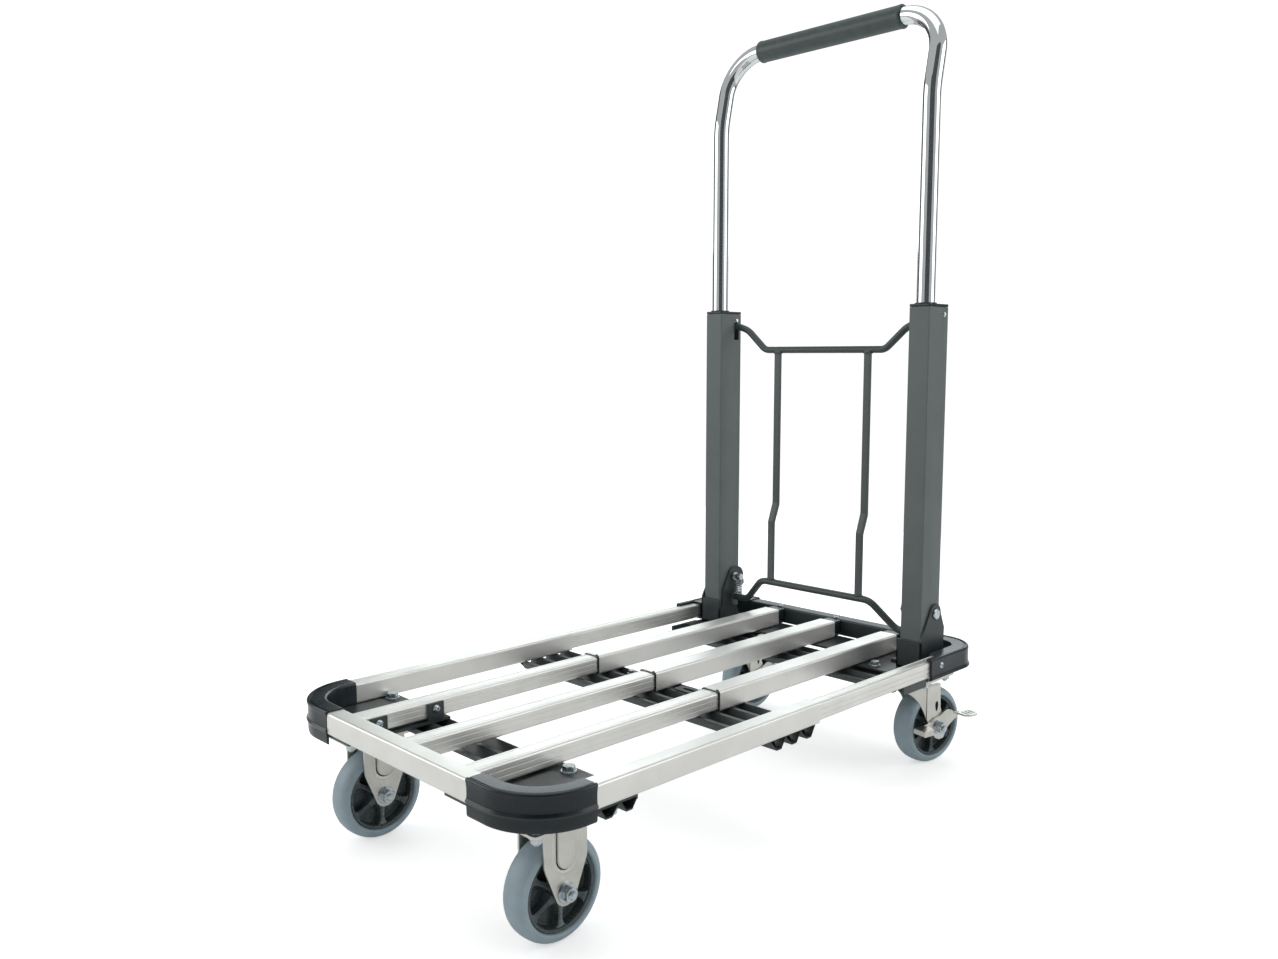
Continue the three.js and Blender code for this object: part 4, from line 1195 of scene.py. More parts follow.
@dataclass
class PressedSteel:
    """The pressed steel under the deck and the bolts in it.

    Fields:
        bend: radius of the bends and edges.
        member_sheet: thickness of a corrugated member.
        floor_sheet: thickness of the rear floor.
        wing_inset: how far a wing reaches in past the side of an outer tube.
        strip: where the strip at the side of the rear floor runs, from the floor's front.
        strip_drop: how far that strip hangs below the floor's CAD solid.
        tab_screws: y of the two tab screws of a front floor plate.
    """

    shop: Shop
    bend: float = 0.7
    member_sheet: float = 2.0
    floor_sheet: float = 3.0
    wing_inset: float = 19.0
    strip: Point2 = (-24.0, 26.0)
    strip_drop: float = 3.0
    tab_screws: Point2 = (38.0, 107.0)

    def member(self, node: str, body: str, teeth: int, short: float = 0.0) -> None:
        """Builds a corrugated cross member from its folded profile.

        Args:
            node: the CAD node that it stands for.
            body: the body that it rides on.
            teeth: how many teeth it has.
            short: how far each end is drawn in under its rail.
        """
        x, y, z = self.shop.span(node)
        x = (x[0] + short, x[1] - short)
        sheet = self.member_sheet
        pitch = (y[1] - y[0]) / teeth
        upper: Outline = []
        for tooth in range(teeth):
            start = y[0] + tooth * pitch
            upper += [(start, z[1]), (start + 0.2 * pitch, z[1])]
            upper += [(start + 0.42 * pitch, z[0] + sheet), (start + 0.72 * pitch, z[0] + sheet)]
        upper += [(y[1] - 0.06 * pitch, z[1]), (y[1], z[1])]
        under = [(along, height - sheet) for along, height in reversed(upper)]
        form = Form().plate([upper + under], x[0], x[1], Axis.X, 0.5)
        self.shop.add(f"{node}_pressing", form, BLACK_POWDER_COAT, body, [node])

    def rear_floor(self) -> None:
        """Builds the rear floor: a winged plate, feet down to the casters, and side strips."""
        node = "rear_floor_plate"
        x, y, z = self.shop.span(node)
        member_y = self.shop.span("rear_crossmember")[1]
        tube = self.shop.span("rear_tube_right")[0]
        top = z[1]
        sheet = self.floor_sheet
        wing = tube[0] + self.wing_inset
        notch = member_y[1] + 9
        plan = [(x[0], y[0]), (-wing, y[0]), (-wing, notch), (wing, notch)]
        plan += [(wing, y[0]), (x[1], y[0]), (x[1], y[1]), (x[0], y[1])]
        form = Form().plate([plan], top - sheet, top, Axis.Z, self.bend)
        for side in Side:
            caster = self.shop.span(f"rear_caster_plate_{side.word}")
            for edge in (caster[1][0] + 1, caster[1][1] - 4):
                wide = (caster[0][0] + 1, caster[0][1] - 1)
                form.block(wide, (edge, edge + sheet), (z[0], top - 0.5), 0.5)
            strip = outward(side.value, x[1] + 0.5, x[1] + 0.5 + sheet)
            reach = (y[0] + self.strip[0], y[0] + self.strip[1])
            form.block(strip, reach, (z[0] - self.strip_drop, top - 0.5), 0.5)
            ledge = outward(side.value, x[1] - sheet, x[1] + sheet)
            form.block(ledge, (y[0] + 0.5, reach[1]), (top - 2.5, top - 0.1), 0.5)
        self.shop.add(f"{node}_pressing", form, BLACK_POWDER_COAT, "rear_deck", [node])

    def front_floor(self, side: Side) -> None:
        """Builds a front floor plate with its raised panel and tab screws."""
        node = f"front_floor_plate_{side.word}"
        x, y, _ = self.shop.span("front_floor_plate_right")
        top = self.shop.span("front_side_rail_right")[2][0] - 0.3
        form = self.shop.refined(f"front_floor_plate_{Side.RIGHT.word}", self.bend)
        panel = filleted(
            [
                (x[0] + 28, y[0] + 24, 6), (x[1] - 36, y[0] + 24, 22),
                (x[1] - 20, y[0] + 46, 10), (x[1] - 20, y[1] - 22, 6),
                (x[0] + 28, y[1] - 22, 6),
            ]
        )
        form.plate([panel], top - 1.0, top + 1.1, Axis.Z, 0.9)
        self.shop.add(
            f"{node}_pressing", form.on_side(side), BLACK_POWDER_COAT, "front_deck", [node]
        )
        screws = Form()
        for middle in self.tab_screws:
            seat = axis_matrix((x[0], middle, top + 12.5), (-1, 0, 0))
            socket_screw(screws, seat, 4.3)
        self.shop.add(f"{node}_tab_screws", screws.on_side(side), ZINC_FASTENER, "front_deck")

    def member_bolts(self) -> None:
        """The slotted fixing on the middle cross member and the bolts on it."""
        x, y, z = self.shop.span("mid_crossmember")
        plate = Form()
        slot = rounded_rectangle((18.0, 62.0), (y[1] - 22.0, y[1] - 4.0), 6.0)
        hole = rounded_rectangle((27.0, 45.0), (y[1] - 15.5, y[1] - 10.5), 2.4)
        plate.plate([slot, hole], z[1] + 0.05, z[1] + 1.4, Axis.Z, 0.4)
        self.shop.add("slotted_strap", plate, BLACK_POWDER_COAT, "rear_deck")
        bolts = Form()
        hex_bolt(bolts, axis_matrix((54.0, y[1] - 13.0, z[1] + 1.4), (0, 0, 1)), 8.0)
        hex_bolt(bolts, axis_matrix((-60.0, y[1] - 13.0, z[1]), (0, 0, 1)), 8.0)
        self.shop.add("mid_crossmember_bolts", bolts, ZINC_FASTENER, "rear_deck")

    def build(self) -> None:
        """Builds every pressed part."""
        self.member("mid_crossmember", "rear_deck", 3)
        self.member("rear_crossmember", "rear_deck", 3, short=24.0)
        self.member("front_crossmember", "front_deck", 2)
        self.rear_floor()
        for side in Side:
            self.front_floor(side)
        self.member_bolts()


# ---------------------------------------------------------------- wheels and casters


@dataclass
class CasterWheel:
    """A spoked wheel with a rubber tyre.

    Fields:
        radius: the wheel's radius.
        tyre_half: half of the tyre's width.
        seat: radius where the tyre sits on the hub.
        rim: radius inside the hub's rim.
        boss: radius of the hub's boss.
        bore: radius of the axle hole.
        web_half: half of the web's thickness.
        hub_half: half of the boss's length.
        spokes: how many spokes there are.
    """

    shop: Shop
    name: str
    body: str
    radius: float = 50.0
    tyre_half: float = 15.0
    seat: float = 39.3
    rim: float = 35.4
    boss: float = 12.0
    bore: float = 4.3
    web_half: float = 2.5
    hub_half: float = 16.2
    spokes: int = 6

    def tyre(self, place: Matrix) -> Form:
        """The tyre, with a crowned tread, a shoulder and a stepped side wall."""
        r = self.radius
        h = self.tyre_half
        side = [(0.0, -2.4), (0.5, -1.2), (1.3, -0.3), (2.2, 0.0), (3.2, -0.2), (4.4, -1.0)]
        shoulder = [(-4.6, -1.5), (-3.6, -2.2), (-2.4, -3.6), (-1.3, -5.6), (-0.5, -8.2)]
        crown = [(r - 0.12, h - 11.4), (r, 0.6), (r, 0.0)]
        half = shifted(side, self.seat, h) + shifted(shoulder, r, h) + crown
        profile = half + [(a, -b) for a, b in reversed(half[:-1])]
        return Form().lathe(profile, place, loop=True, segments=128)

    def hub(self, place: Matrix) -> Form:
        """The hub, with its rim, web, ribs and stepped boss."""
        rim_half = self.tyre_half - 2.6
        seat = self.seat - 0.3
        half = [
            *shifted([(0.0, 0.0), (0.8, 0.0), (4.2, -0.3)], self.bore, self.hub_half),
            *shifted([(-2.6, -1.2), (-1.6, -4.0)], self.boss, self.hub_half),
            *shifted([(-0.8, 2.5), (0.8, 0.4), (2.0, 0.0)], self.boss, self.web_half),
            *shifted([(-3.0, 0.0), (-1.2, 0.8), (-0.6, 2.5)], self.rim, self.web_half),
            *shifted([(0.0, -1.2), (0.7, -0.2), (1.6, 0.0)], self.rim, rim_half),
            *shifted([(-0.8, 0.0), (0.0, -0.8)], seat, rim_half),
        ]
        profile = half + [(a, -b) for a, b in reversed(half)]
        form = Form().lathe(profile, place, loop=True, segments=96)
        for angle in turns(self.spokes):
            turned = place @ Matrix.Rotation(angle, 4, "Z")
            form.add_rings(self.spoke_rings(turned, rim_half))
        return form

    def spoke_rings(self, place: Matrix, rim_half: float) -> list[list[Vector]]:
        """Rings of one drafted spoke, from the boss to the rim."""
        rings = []
        for distance, half, depth in (
            (self.boss - 1.5, 4.2, self.hub_half - 3.6), (self.boss + 6.0, 2.6, rim_half - 1.6),
            (self.rim - 8.0, 2.4, rim_half - 2.2), (self.rim - 3.0, 3.6, rim_half - 2.0),
            (self.rim + 0.6, 6.4, rim_half - 1.6),
        ):
            corner = 0.7
            section = rounded_rectangle((-half, half), (-depth, depth), corner, 3)
            rings.append([place @ Vector((distance, u, v)) for u, v in section])
        return rings

    def build(self, place: Matrix) -> None:
        """Builds the wheel on a placement whose z is the axle."""
        for part, form, finish in (
            ("tyre", self.tyre(place), GREY_RUBBER),
            ("hub", self.hub(place), GLOSSY_PLASTIC),
        ):
            node = self.name.replace("wheel", part)
            self.shop.add(f"{self.name}_{part}_moulding", form, finish, self.body, [node])


@dataclass
class AxleBolt:
    """The bolt that a wheel turns on.

    Fields:
        radius: the shank's radius.
        cheek_outside: distance from the wheel's middle to a cheek's outer face.
        lever: extra thickness under the nut where a brake lever sits.
    """

    radius: float = 4.0
    cheek_outside: float = 19.0
    lever: float = 0.0

    def form(self, place: Matrix) -> Form:
        """The bolt on a placement whose z points out of the cart."""
        seat = self.cheek_outside + self.lever + 0.15
        form = Form()
        form.lathe([(self.radius, -self.cheek_outside - 0.2), (self.radius, seat + 0.2)], place)
        stud_nut(form, place @ Matrix.Translation((0, 0, seat)))
        flip = Matrix.Rotation(math.pi, 4, "X")
        head = place @ Matrix.Translation((0, 0, -self.cheek_outside - 0.15)) @ flip
        hex_bolt(form, head)
        return form


def panel_outline(centre: Point2, bottom: float, reach: float) -> Outline:
    """Outline of a panel that is straight above and round at its foot."""
    top = [(centre[0] + reach, centre[1]), (centre[0] - reach, centre[1])]
    return top + arc((centre[0], bottom), reach, 180, 360, 24)


def pressed_panel(form: Form, x: float, facing: int, centre: Point2, bottom: float) -> Form:
    """Adds a pressed-out panel with a round foot to the outside of a cheek.

    Args:
        form: the form that takes the panel.
        x: the cheek's face.
        facing: 1 if the face looks along +x, and -1 otherwise.
        centre: y of the middle and z of the panel's top.
        bottom: z of the round foot's centre.

    Returns:
        The form.
    """
    reach = 10.6
    height = 2.6
    outline = panel_outline(centre, bottom, reach)
    faces = sorted((x - facing * (height - 0.2), x + facing * height))
    form.plate([outline], *faces, Axis.X, height)
    lip = reach + 3.5
    rim = [(centre[0] - lip, centre[1]), *arc((centre[0], bottom), lip, 180, 360, 24)]
    rim.append((centre[0] + lip, centre[1]))
    path = [Vector((x, y, z)) for y, z in rim]
    section = [(-0.5 * facing, 2.2), (0.05 * facing, 1.9), (0.4 * facing, 0.3)]
    section += [(0.4 * facing, -0.3), (0.05 * facing, -1.9), (-0.5 * facing, -2.2)]
    return form.sweep(path, section, (1, 0, 0))


@dataclass
class FixedCaster:
    """A front caster: its fork is riveted to a top plate that bolts under the floor.

    Fields:
        plate_size: the top plate's width and length.
        plate_sheet: its thickness.
        sheet: thickness of the cheeks.
        inside: distance from the wheel's middle to a cheek's inner face.
        half_width: half of a cheek's width at the top.
        end_radius: radius of a cheek round the axle.
        shoulder: height above the axle where a cheek starts to narrow.
        panel_foot: height above the axle of the centre of the pressed panel's foot.
        bolts_x: where the bolts are, across from the wheel's middle.
        bolts_y: where the bolts are, along from the axle.
    """

    shop: Shop
    side: Side
    plate_size: Point2 = (80.0, 105.0)
    plate_sheet: float = 3.0
    sheet: float = 2.5
    inside: float = 16.5
    half_width: float = 25.0
    end_radius: float = 12.5
    shoulder: float = 28.0
    panel_foot: float = 33.0
    bolts_x: Point2 = (-26.0, 32.0)
    bolts_y: Point2 = (-44.0, 42.0)

    def cheek(self, top: float) -> Outline:
        """A cheek's outline about the axle."""
        shoulder = self.shoulder
        points = [(-self.half_width, top), (-self.half_width, shoulder + 1.5)]
        points.append((-self.half_width + 0.6, shoulder - 1.5))
        points += arc((0, 0), self.end_radius, 205, 335, 18)
        points.append((self.half_width - 0.6, shoulder - 1.5))
        points += [(self.half_width, shoulder + 1.5), (self.half_width, top)]
        return points

    def fork(self, x: float, y: float, z: float, plate: Point2) -> Form:
        """The fork and top plate about the wheel's centre.

        Args:
            x: the wheel's middle.
            y: the axle's y.
            z: the axle's z.
            plate: the top plate's bottom and top.

        Returns:
            The form on the right side.
        """
        form = Form()
        half_x, half_y = self.plate_size[0] / 2, self.plate_size[1] / 2
        top = rounded_rectangle((x - half_x, x + half_x), (y - half_y, y + half_y), 7)
        form.plate([top], plate[0], plate[1], Axis.Z, 0.6)
        outline = [(y + u, z + v) for u, v in self.cheek(plate[0] + 0.2 - z)]
        outside = self.inside + self.sheet
        foot = z + self.panel_foot
        cut = panel_outline((y, plate[0] - 3.0), foot, 11.5)
        for facing in (1, -1):
            faces = sorted((x + facing * self.inside, x + facing * outside))
            form.plate([outline, cut], faces[0], faces[1], Axis.X, 0.5)
            pressed_panel(form, x + facing * outside, facing, (y, plate[0] - 1.0), foot)
            weld_x = x + facing * (outside + 0.2)
            weld = [Vector((weld_x, y + along, plate[0] - 2.4)) for along in (-24.5, 24.5)]
            form.bar(weld, 2.0, 12, (1, 0, 0))
        return form

    def bolts(self, x: float, y: float, plate: Point2, floor: float) -> Form:
        """The four bolts that hold the caster to the floor plate."""
        form = Form()
        for across in self.bolts_x:
            for along in self.bolts_y:
                hex_bolt(form, axis_matrix((x + across, y + along, floor), (0, 0, 1)), 11.0)
                under = axis_matrix((x + across, y + along, plate[0]), (0, 0, -1))
                stud_nut(form, under, 10.0)
                shank = axis_matrix((x + across, y + along, plate[1]), (0, 0, 1))
                form.lathe([(6.5, 0.1), (6.5, floor - plate[1] - 3.2)], shank, segments=32)
        return form

    def build(self) -> None:
        """Builds the caster with its wheel."""
        word = self.side.word
        low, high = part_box("front_tyre_right")
        x = (low.x + high.x) / 2 / MM
        y = ((low.y + high.y) / 2 - self.shop.front_y) / MM
        z = (low.z + high.z) / 2 / MM
        top = self.shop.span("front_fork_right")[2][1]
        plate = (top - self.plate_sheet, top)
        floor = self.shop.span("front_side_rail_right")[2][0] - 0.3
        node = f"front_fork_{word}"
        fork = self.fork(x, y, z, plate).on_side(self.side)
        self.shop.add(f"{node}_pressing", fork, ZINC_SHEET, "front_deck", [node])
        bolts = self.bolts(x, y, plate, floor).on_side(self.side)
        self.shop.add(f"front_caster_bolts_{word}", bolts, ZINC_FASTENER, "front_deck")
        place = axis_matrix((self.side.value * x, y, z), (1, 0, 0))
        axle = AxleBolt().form(place)
        self.shop.add(
            f"front_axle_{word}_bolt", axle, ZINC_FASTENER, "front_deck", [f"front_axle_{word}"]
        )
        CasterWheel(self.shop, f"front_wheel_{word}", f"front_wheel_{word}").build(place)


# A brake lever's outline, as (behind, above) the axle.
ROCKER = (
    (38, 14), (29, 15), (23, 18.5), (16, 20.5), (10, 19), (4, 15), (-2, 13.5), (-9, 12),
    (-14, 8.5), (-20, 7.5), (-27, 7), (-27, -1), (-16, -4), (-11, -8), (-6, -14), (1, -17),
    (9, -16), (13, -9), (17, -3), (26, 3), (38, 9),
)


@dataclass
class SwivelCaster:
    """A rear caster: a fixed race plate, a swivelling fork, a wheel and a brake lever.

    Fields:
        plate_size: the fixed plate's width and length.
        plate_sheet: its thickness.
        crown: height of the fork's crown.
        trail: distance from the kingpin's axis to the axle.
        sheet: thickness of the fork.
        inside: distance from the wheel's middle to a cheek's inner face.
        race: radius of the ball race.
        axle_z: height of the axle.
        end_radius: radius of a cheek round the axle.
        bend_y: where a cheek bends, behind the kingpin's axis.
        horn_lean: how much the front of a cheek leans in, per millimetre.
        horn_step: how far the horn is set back at the bend.
        bolt_x: distance of a bolt from the kingpin, across.
        bolt_y: distance of a bolt from the kingpin, along.
    """

    shop: Shop
    side: Side
    plate_size: Point2 = (84.0, 66.0)
    plate_sheet: float = 3.0
    crown: float = 107.0
    trail: float = 28.0
    sheet: float = 2.5
    inside: float = 16.5
    race: float = 25.0
    axle_z: float = 50.0
    end_radius: float = 12.5
    bend_y: float = 8.0
    horn_lean: float = 0.32
    horn_step: float = 1.3
    bolt_x: float = 32.0
    bolt_y: float = 24.0

    def race_plate(self, top: float) -> Form:
        """The fixed plate with its pressed race and the kingpin's head below."""
        bottom = top - self.plate_sheet
        half_x, half_y = self.plate_size[0] / 2, self.plate_size[1] / 2
        form = Form()
        outline = rounded_rectangle((-half_x, half_x), (-half_y, half_y), 7)
        form.plate([outline], bottom, top, Axis.Z, 0.6)
        r = self.race
        race = [(1.0, 0.2), (-0.2, -1.0), (0.0, -3.6), (-1.0, -5.2), (-3.4, -6.2)]
        form.lathe(shifted(race, r, bottom), Matrix.Identity(4), segments=72)
        head = self.crown - self.sheet
        pin = [(5.0, bottom), (5.0, head - 0.6), (8.0, head - 1.0), (8.0, head - 5.0)]
        pin += [(6.8, head - 6.2), (4.6, head - 6.8)]
        form.lathe(pin, Matrix.Identity(4), segments=48)
        return form

    def cheek_front(self) -> Outline:
        """The horn of a cheek, in front of its bend line, as (y, z) about the kingpin."""
        bend = self.bend_y
        low = self.axle_z + 12.0
        start = Vector((-19.0, self.crown - 8.0))
        pull = Vector((bend - 8.0, self.crown - 18.0))
        end = Vector((bend, low))
        edge = [(point.x, point.y) for point in bent(start, pull, end, 12)]
        return [(-19.0, self.crown), *edge, (bend, self.crown)]

    def cheek_rear(self) -> Outline:
        """The flat part of a cheek, down to its round end about the axle."""
        bend = self.bend_y
        points = [(bend, self.crown), (bend, self.axle_z + 12.0), (15.4, self.axle_z + 1.0)]
        points += arc((self.trail, self.axle_z), self.end_radius, 186, 352, 18)
        points += [(39.0, self.axle_z + 10.0), (33.5, self.axle_z + 24.0)]
        points += [(32.5, self.crown - 3.0), (32.0, self.crown)]
        return points

    def cheek_piercing(self) -> Outline:
        """The leaf-shaped hole in a cheek."""
        middle = (self.trail - 2.0, self.axle_z + 27.0)
        leaf = []
        for angle in turns(24):
            width = 2.6 * math.sin(angle) * (1 - 0.35 * math.cos(angle))
            leaf.append((middle[0] + width, middle[1] - 6.5 * math.cos(angle)))
        return leaf

    def fork(self) -> Form:
        """The swivelling fork: crown, dished race, and two cheeks bent at their front."""
        form = Form()
        outside = self.inside + self.sheet
        front = [(-outside, -19.0, 8.0), (outside, -19.0, 8.0)]
        back = [(outside, 32.0, 5.0), (-outside, 32.0, 5.0)]
        crown = filleted(front + back)
        form.plate([crown], self.crown - self.sheet, self.crown, Axis.Z, 0.7)
        dish = [(-1.0, -0.6), (-1.6, 1.0), (-2.0, 3.6), (-3.4, 5.4), (-6.0, 6.4)]
        dished = shifted(dish, self.race, self.crown) + [(6.0, self.crown + 6.6)]
        form.lathe(dished, Matrix.Identity(4), segments=72)
        rim = [Vector((x, -18.2, self.crown - 1.4)) for x in (outside - 1.2, 0, 1.2 - outside)]
        form.bar(rim, 1.7, 12, (0, 0, 1))
        for facing in (1, -1):
            faces = outward(facing, self.inside, outside)
            form.plate([self.cheek_rear(), self.cheek_piercing()], *faces, Axis.X, 0.5)
            lean = Matrix.Identity(4)
            lean[0][1] = facing * self.horn_lean
            lean[0][3] = -facing * (self.horn_lean * self.bend_y + self.horn_step)
            form.plate([self.cheek_front()], *faces, Axis.X, 0.5, lean)
        return form

    def brake(self) -> Form:
        """The stamped brake lever: a rocker with a folded tread at each end."""
        start = self.inside + self.sheet + 0.3
        end = start + self.sheet
        y, z = self.trail, self.axle_z
        outline = shifted(ROCKER, y, z)
        form = Form().plate([outline, circle(4.4, (y, z), 32)], start, end, Axis.X, 0.5)
        rear = [
            (start, y + 35, 1.0), (end + 12, y + 35, 4.0), (end + 17, y + 42, 6.0),
            (end + 17, y + 54, 6.0), (end + 10, y + 60, 6.0), (start, y + 60, 6.0),
        ]
        form.plate([filleted(rear)], z + 10, z + 12.4, Axis.Z, 0.7)
        front = [
            (start, y - 46, 5.0), (end + 17, y - 46, 4.0), (end + 17, y - 27, 3.0),
            (end + 8, y - 25, 4.0), (start, y - 25, 1.0),
        ]
        form.plate([filleted(front)], z + 4.0, z + 6.5, Axis.Z, 0.7)
        form.block((end + 14.8, end + 17), (y - 45, y - 28), (z - 1, z + 5.5), 0.8)
        form.block((start + 1, end + 16), (y - 46, y - 44), (z, z + 5.5), 0.8)
        for i in range(3):
            rib_y = y + 41 + i * 6.0
            rib = [Vector((x, rib_y, z + 12.2)) for x in (start + 4, end + 13)]
            form.bar(rib, 0.9, 10, (0, 0, 1))
        return form

    def bolts(self, top: float, floor: float) -> Form:
        """The four bolts through the fixed plate; those under the tubes have flush heads."""
        form = Form()
        for across in (-self.bolt_x, self.bolt_x):
            for along in (-self.bolt_y, self.bolt_y):
                if across * self.side.value > 0:
                    hex_bolt(form, axis_matrix((across, along, floor), (0, 0, 1)), 10.0)
                stud_nut(form, axis_matrix((across, along, top - 3.0), (0, 0, -1)), 10.0)
                shank = axis_matrix((across, along, top), (0, 0, 1))
                form.lathe([(6.0, 0.1), (6.0, floor - top - 3.2)], shank, segments=32)
        return form

    def build(self) -> None:
        """Builds the caster, its wheel and its brake at their rest angle."""
        word = self.side.word
        kingpin = self.shop.joint_point(f"caster_swivel_{word}")
        axis = Vector(self.shop.joint(f"rear_wheel_spin_{word}")["axis"])
        angle = math.atan2(axis.y, axis.x)
        fixed = Matrix.Translation((kingpin.x, kingpin.y, 0))
        turned = fixed @ Matrix.Rotation(angle, 4, "Z")
        top = self.shop.span(f"rear_caster_plate_{word}")[2][1]
        floor = self.shop.span("rear_floor_plate")[2][1]
        plate_node = f"rear_caster_plate_{word}"
        plate = Form().take(self.race_plate(top), fixed)
        self.shop.add(f"{plate_node}_pressing", plate, ZINC_SHEET, "rear_deck", [plate_node])
        bolts = Form().take(self.bolts(top, floor), fixed)
        self.shop.add(f"rear_caster_bolts_{word}", bolts, ZINC_FASTENER, "rear_deck")
        body = f"rear_caster_{word}"
        fork = Form().take(self.fork(), turned)
        self.shop.add(f"rear_fork_{word}_pressing", fork, ZINC_SHEET, body, [f"rear_fork_{word}"])
        axle_place = turned @ axis_matrix((0, self.trail, self.axle_z), (1, 0, 0))
        axle = AxleBolt(lever=2.8).form(axle_place)
        self.shop.add(
            f"rear_axle_{word}_bolt", axle, ZINC_FASTENER, body, [f"rear_axle_{word}"]
        )
        brake = Form().take(self.brake(), turned)
        self.shop.add(
            f"brake_lever_{word}_pressing", brake, ZINC_SHEET, f"brake_{word}", [f"brake_lever_{word}"]
        )
        CasterWheel(self.shop, f"rear_wheel_{word}", f"rear_wheel_{word}").build(axle_place)


# ---------------------------------------------------------------- handle


@dataclass
class PivotBracket:
    """The folding bracket of one post: base, front web and two cheeks with their pin.

    Fields:
        sheet: thickness of the steel.
        base_sheet: thickness of the base.
        clear: gap between bracket and post.
        web_top: height of the front web.
        outer_round: radius of the outer cheek about the pivot.
        foot_bolts: y of the two bolts of the foot.
    """

    shop: Shop
    side: Side
    sheet: float = 2.5
    base_sheet: float = 3.0
    clear: float = 0.4
    web_top: float = 174.0
    outer_round: float = 12.5
    foot_bolts: Point2 = (664.0, 682.0)

    def outer_cheek(self, front: float, base: float, pivot: Point2) -> Outline:
        """The outer cheek's outline: straight sides up to a round top about the pivot."""
        points = [(front, base), (686.0, base), (687.5, pivot[1] - 20)]
        points += arc(pivot, self.outer_round, 0, 150, 20)
        points += [(front + 1.5, self.web_top + 4), (front, self.web_top)]
        return points

    def inner_cheek(self, front: float, base: float, pivot: Point2) -> Outline:
        """The inner cheek's outline, cut away behind for the end of the release rod."""
        y, z = pivot
        points = [(front, base), (682.0, base), (673.0, 160.0), (666.0, 163.0), (661.5, 166.0)]
        points += arc((666.0, 173.0), 6.4, 235, 110, 8)
        points += [(676.0, 187.0), (688.0, 191.0)]
        points += arc((y + 6, z - 1), 14.5, -10, 80, 10)
        points += arc(pivot, 13.5, 92, 150, 8)
        points += [(y - 24, z - 17), (y - 25, self.web_top - 8), (front, self.web_top - 14)]
        return points

    def build(self) -> None:
        """Builds the bracket, its pin and the bolts of its foot."""
        word = self.side.word
        x, y, z = self.shop.span("pivot_bracket_right")
        post_x, post_y, _ = self.shop.span("handle_post_right")
        pivot_point = self.shop.joint_point("handle_fold")
        pivot = (pivot_point.y, pivot_point.z)
        base = z[0]
        front = y[0]
        form = Form()
        outer = (post_x[1] + self.clear, post_x[1] + self.clear + self.sheet)
        inner = (post_x[0] - self.clear - self.sheet, post_x[0] - self.clear)
        hole = circle(4.3, pivot, 32)
        form.plate([self.outer_cheek(front, base, pivot), hole], *outer, Axis.X, 0.5)
        form.plate([self.inner_cheek(front, base, pivot), hole], *inner, Axis.X, 0.5)
        web = rounded_rectangle((inner[0], outer[1]), (base, self.web_top), 1.2)
        form.plate([web], front, front + self.sheet, Axis.Y, 0.5)
        form.block((inner[0], outer[1]), (front, y[1]), (base, base + self.base_sheet), 0.5)
        form.block((x[0], inner[0] + 1), (front + 16.5, y[1]), (base, base + self.base_sheet), 0.5)
        node = f"pivot_bracket_{word}"
        self.shop.add(
            f"{node}_pressing", form.on_side(self.side), BLACK_POWDER_COAT, "rear_deck", [node]
        )
        feet = Form()
        for along in self.foot_bolts:
            seat = axis_matrix((x[0] + 8.5, along, base + self.base_sheet), (0, 0, 1))
            hex_bolt(feet, seat, 8.0)
        hex_bolt(feet, axis_matrix((x[0] - 2.0, front - 16.0, base), (0, 0, 1)), 10.0)
        self.shop.add(f"{node}_bolts", feet.on_side(self.side), ZINC_FASTENER, "rear_deck")
        self.add_pin(word, outer[1], inner[0], pivot)

    def add_pin(self, word: str, outside: float, inside: float, pivot: Point2) -> None:
        """Adds the pivot pin: a flat riveted head outside and a collar and cap inside.

        Args:
            word: the side's word.
            outside: the outer cheek's outer face.
            inside: the inner cheek's inner face.
            pivot: the pin's y and z.
        """
        place = axis_matrix((0, pivot[0], pivot[1]), (1, 0, 0))
        collar = [(4.2, -13.6), (5.0, -13.0), (5.0, -12.2), (4.0, -11.8), (4.0, -3.0)]
        collar += [(5.6, -2.9), (6.0, -2.4), (6.0, -0.5), (4.0, -0.4)]
        head = [(4.0, 0.2), (6.6, 0.3), (6.9, 0.9), (6.3, 2.1), (5.4, 2.5), (3.2, 2.6), (2.4, 2.2)]
        profile = shifted(collar, 0.0, inside) + shifted(head, 0.0, outside)
        pin = Form().lathe(profile, place, segments=48)
        node = f"pivot_pin_{word}"
        self.shop.add(
            f"{node}_rivet", pin.on_side(self.side), ZINC_FASTENER, "rear_deck", [node]
        )


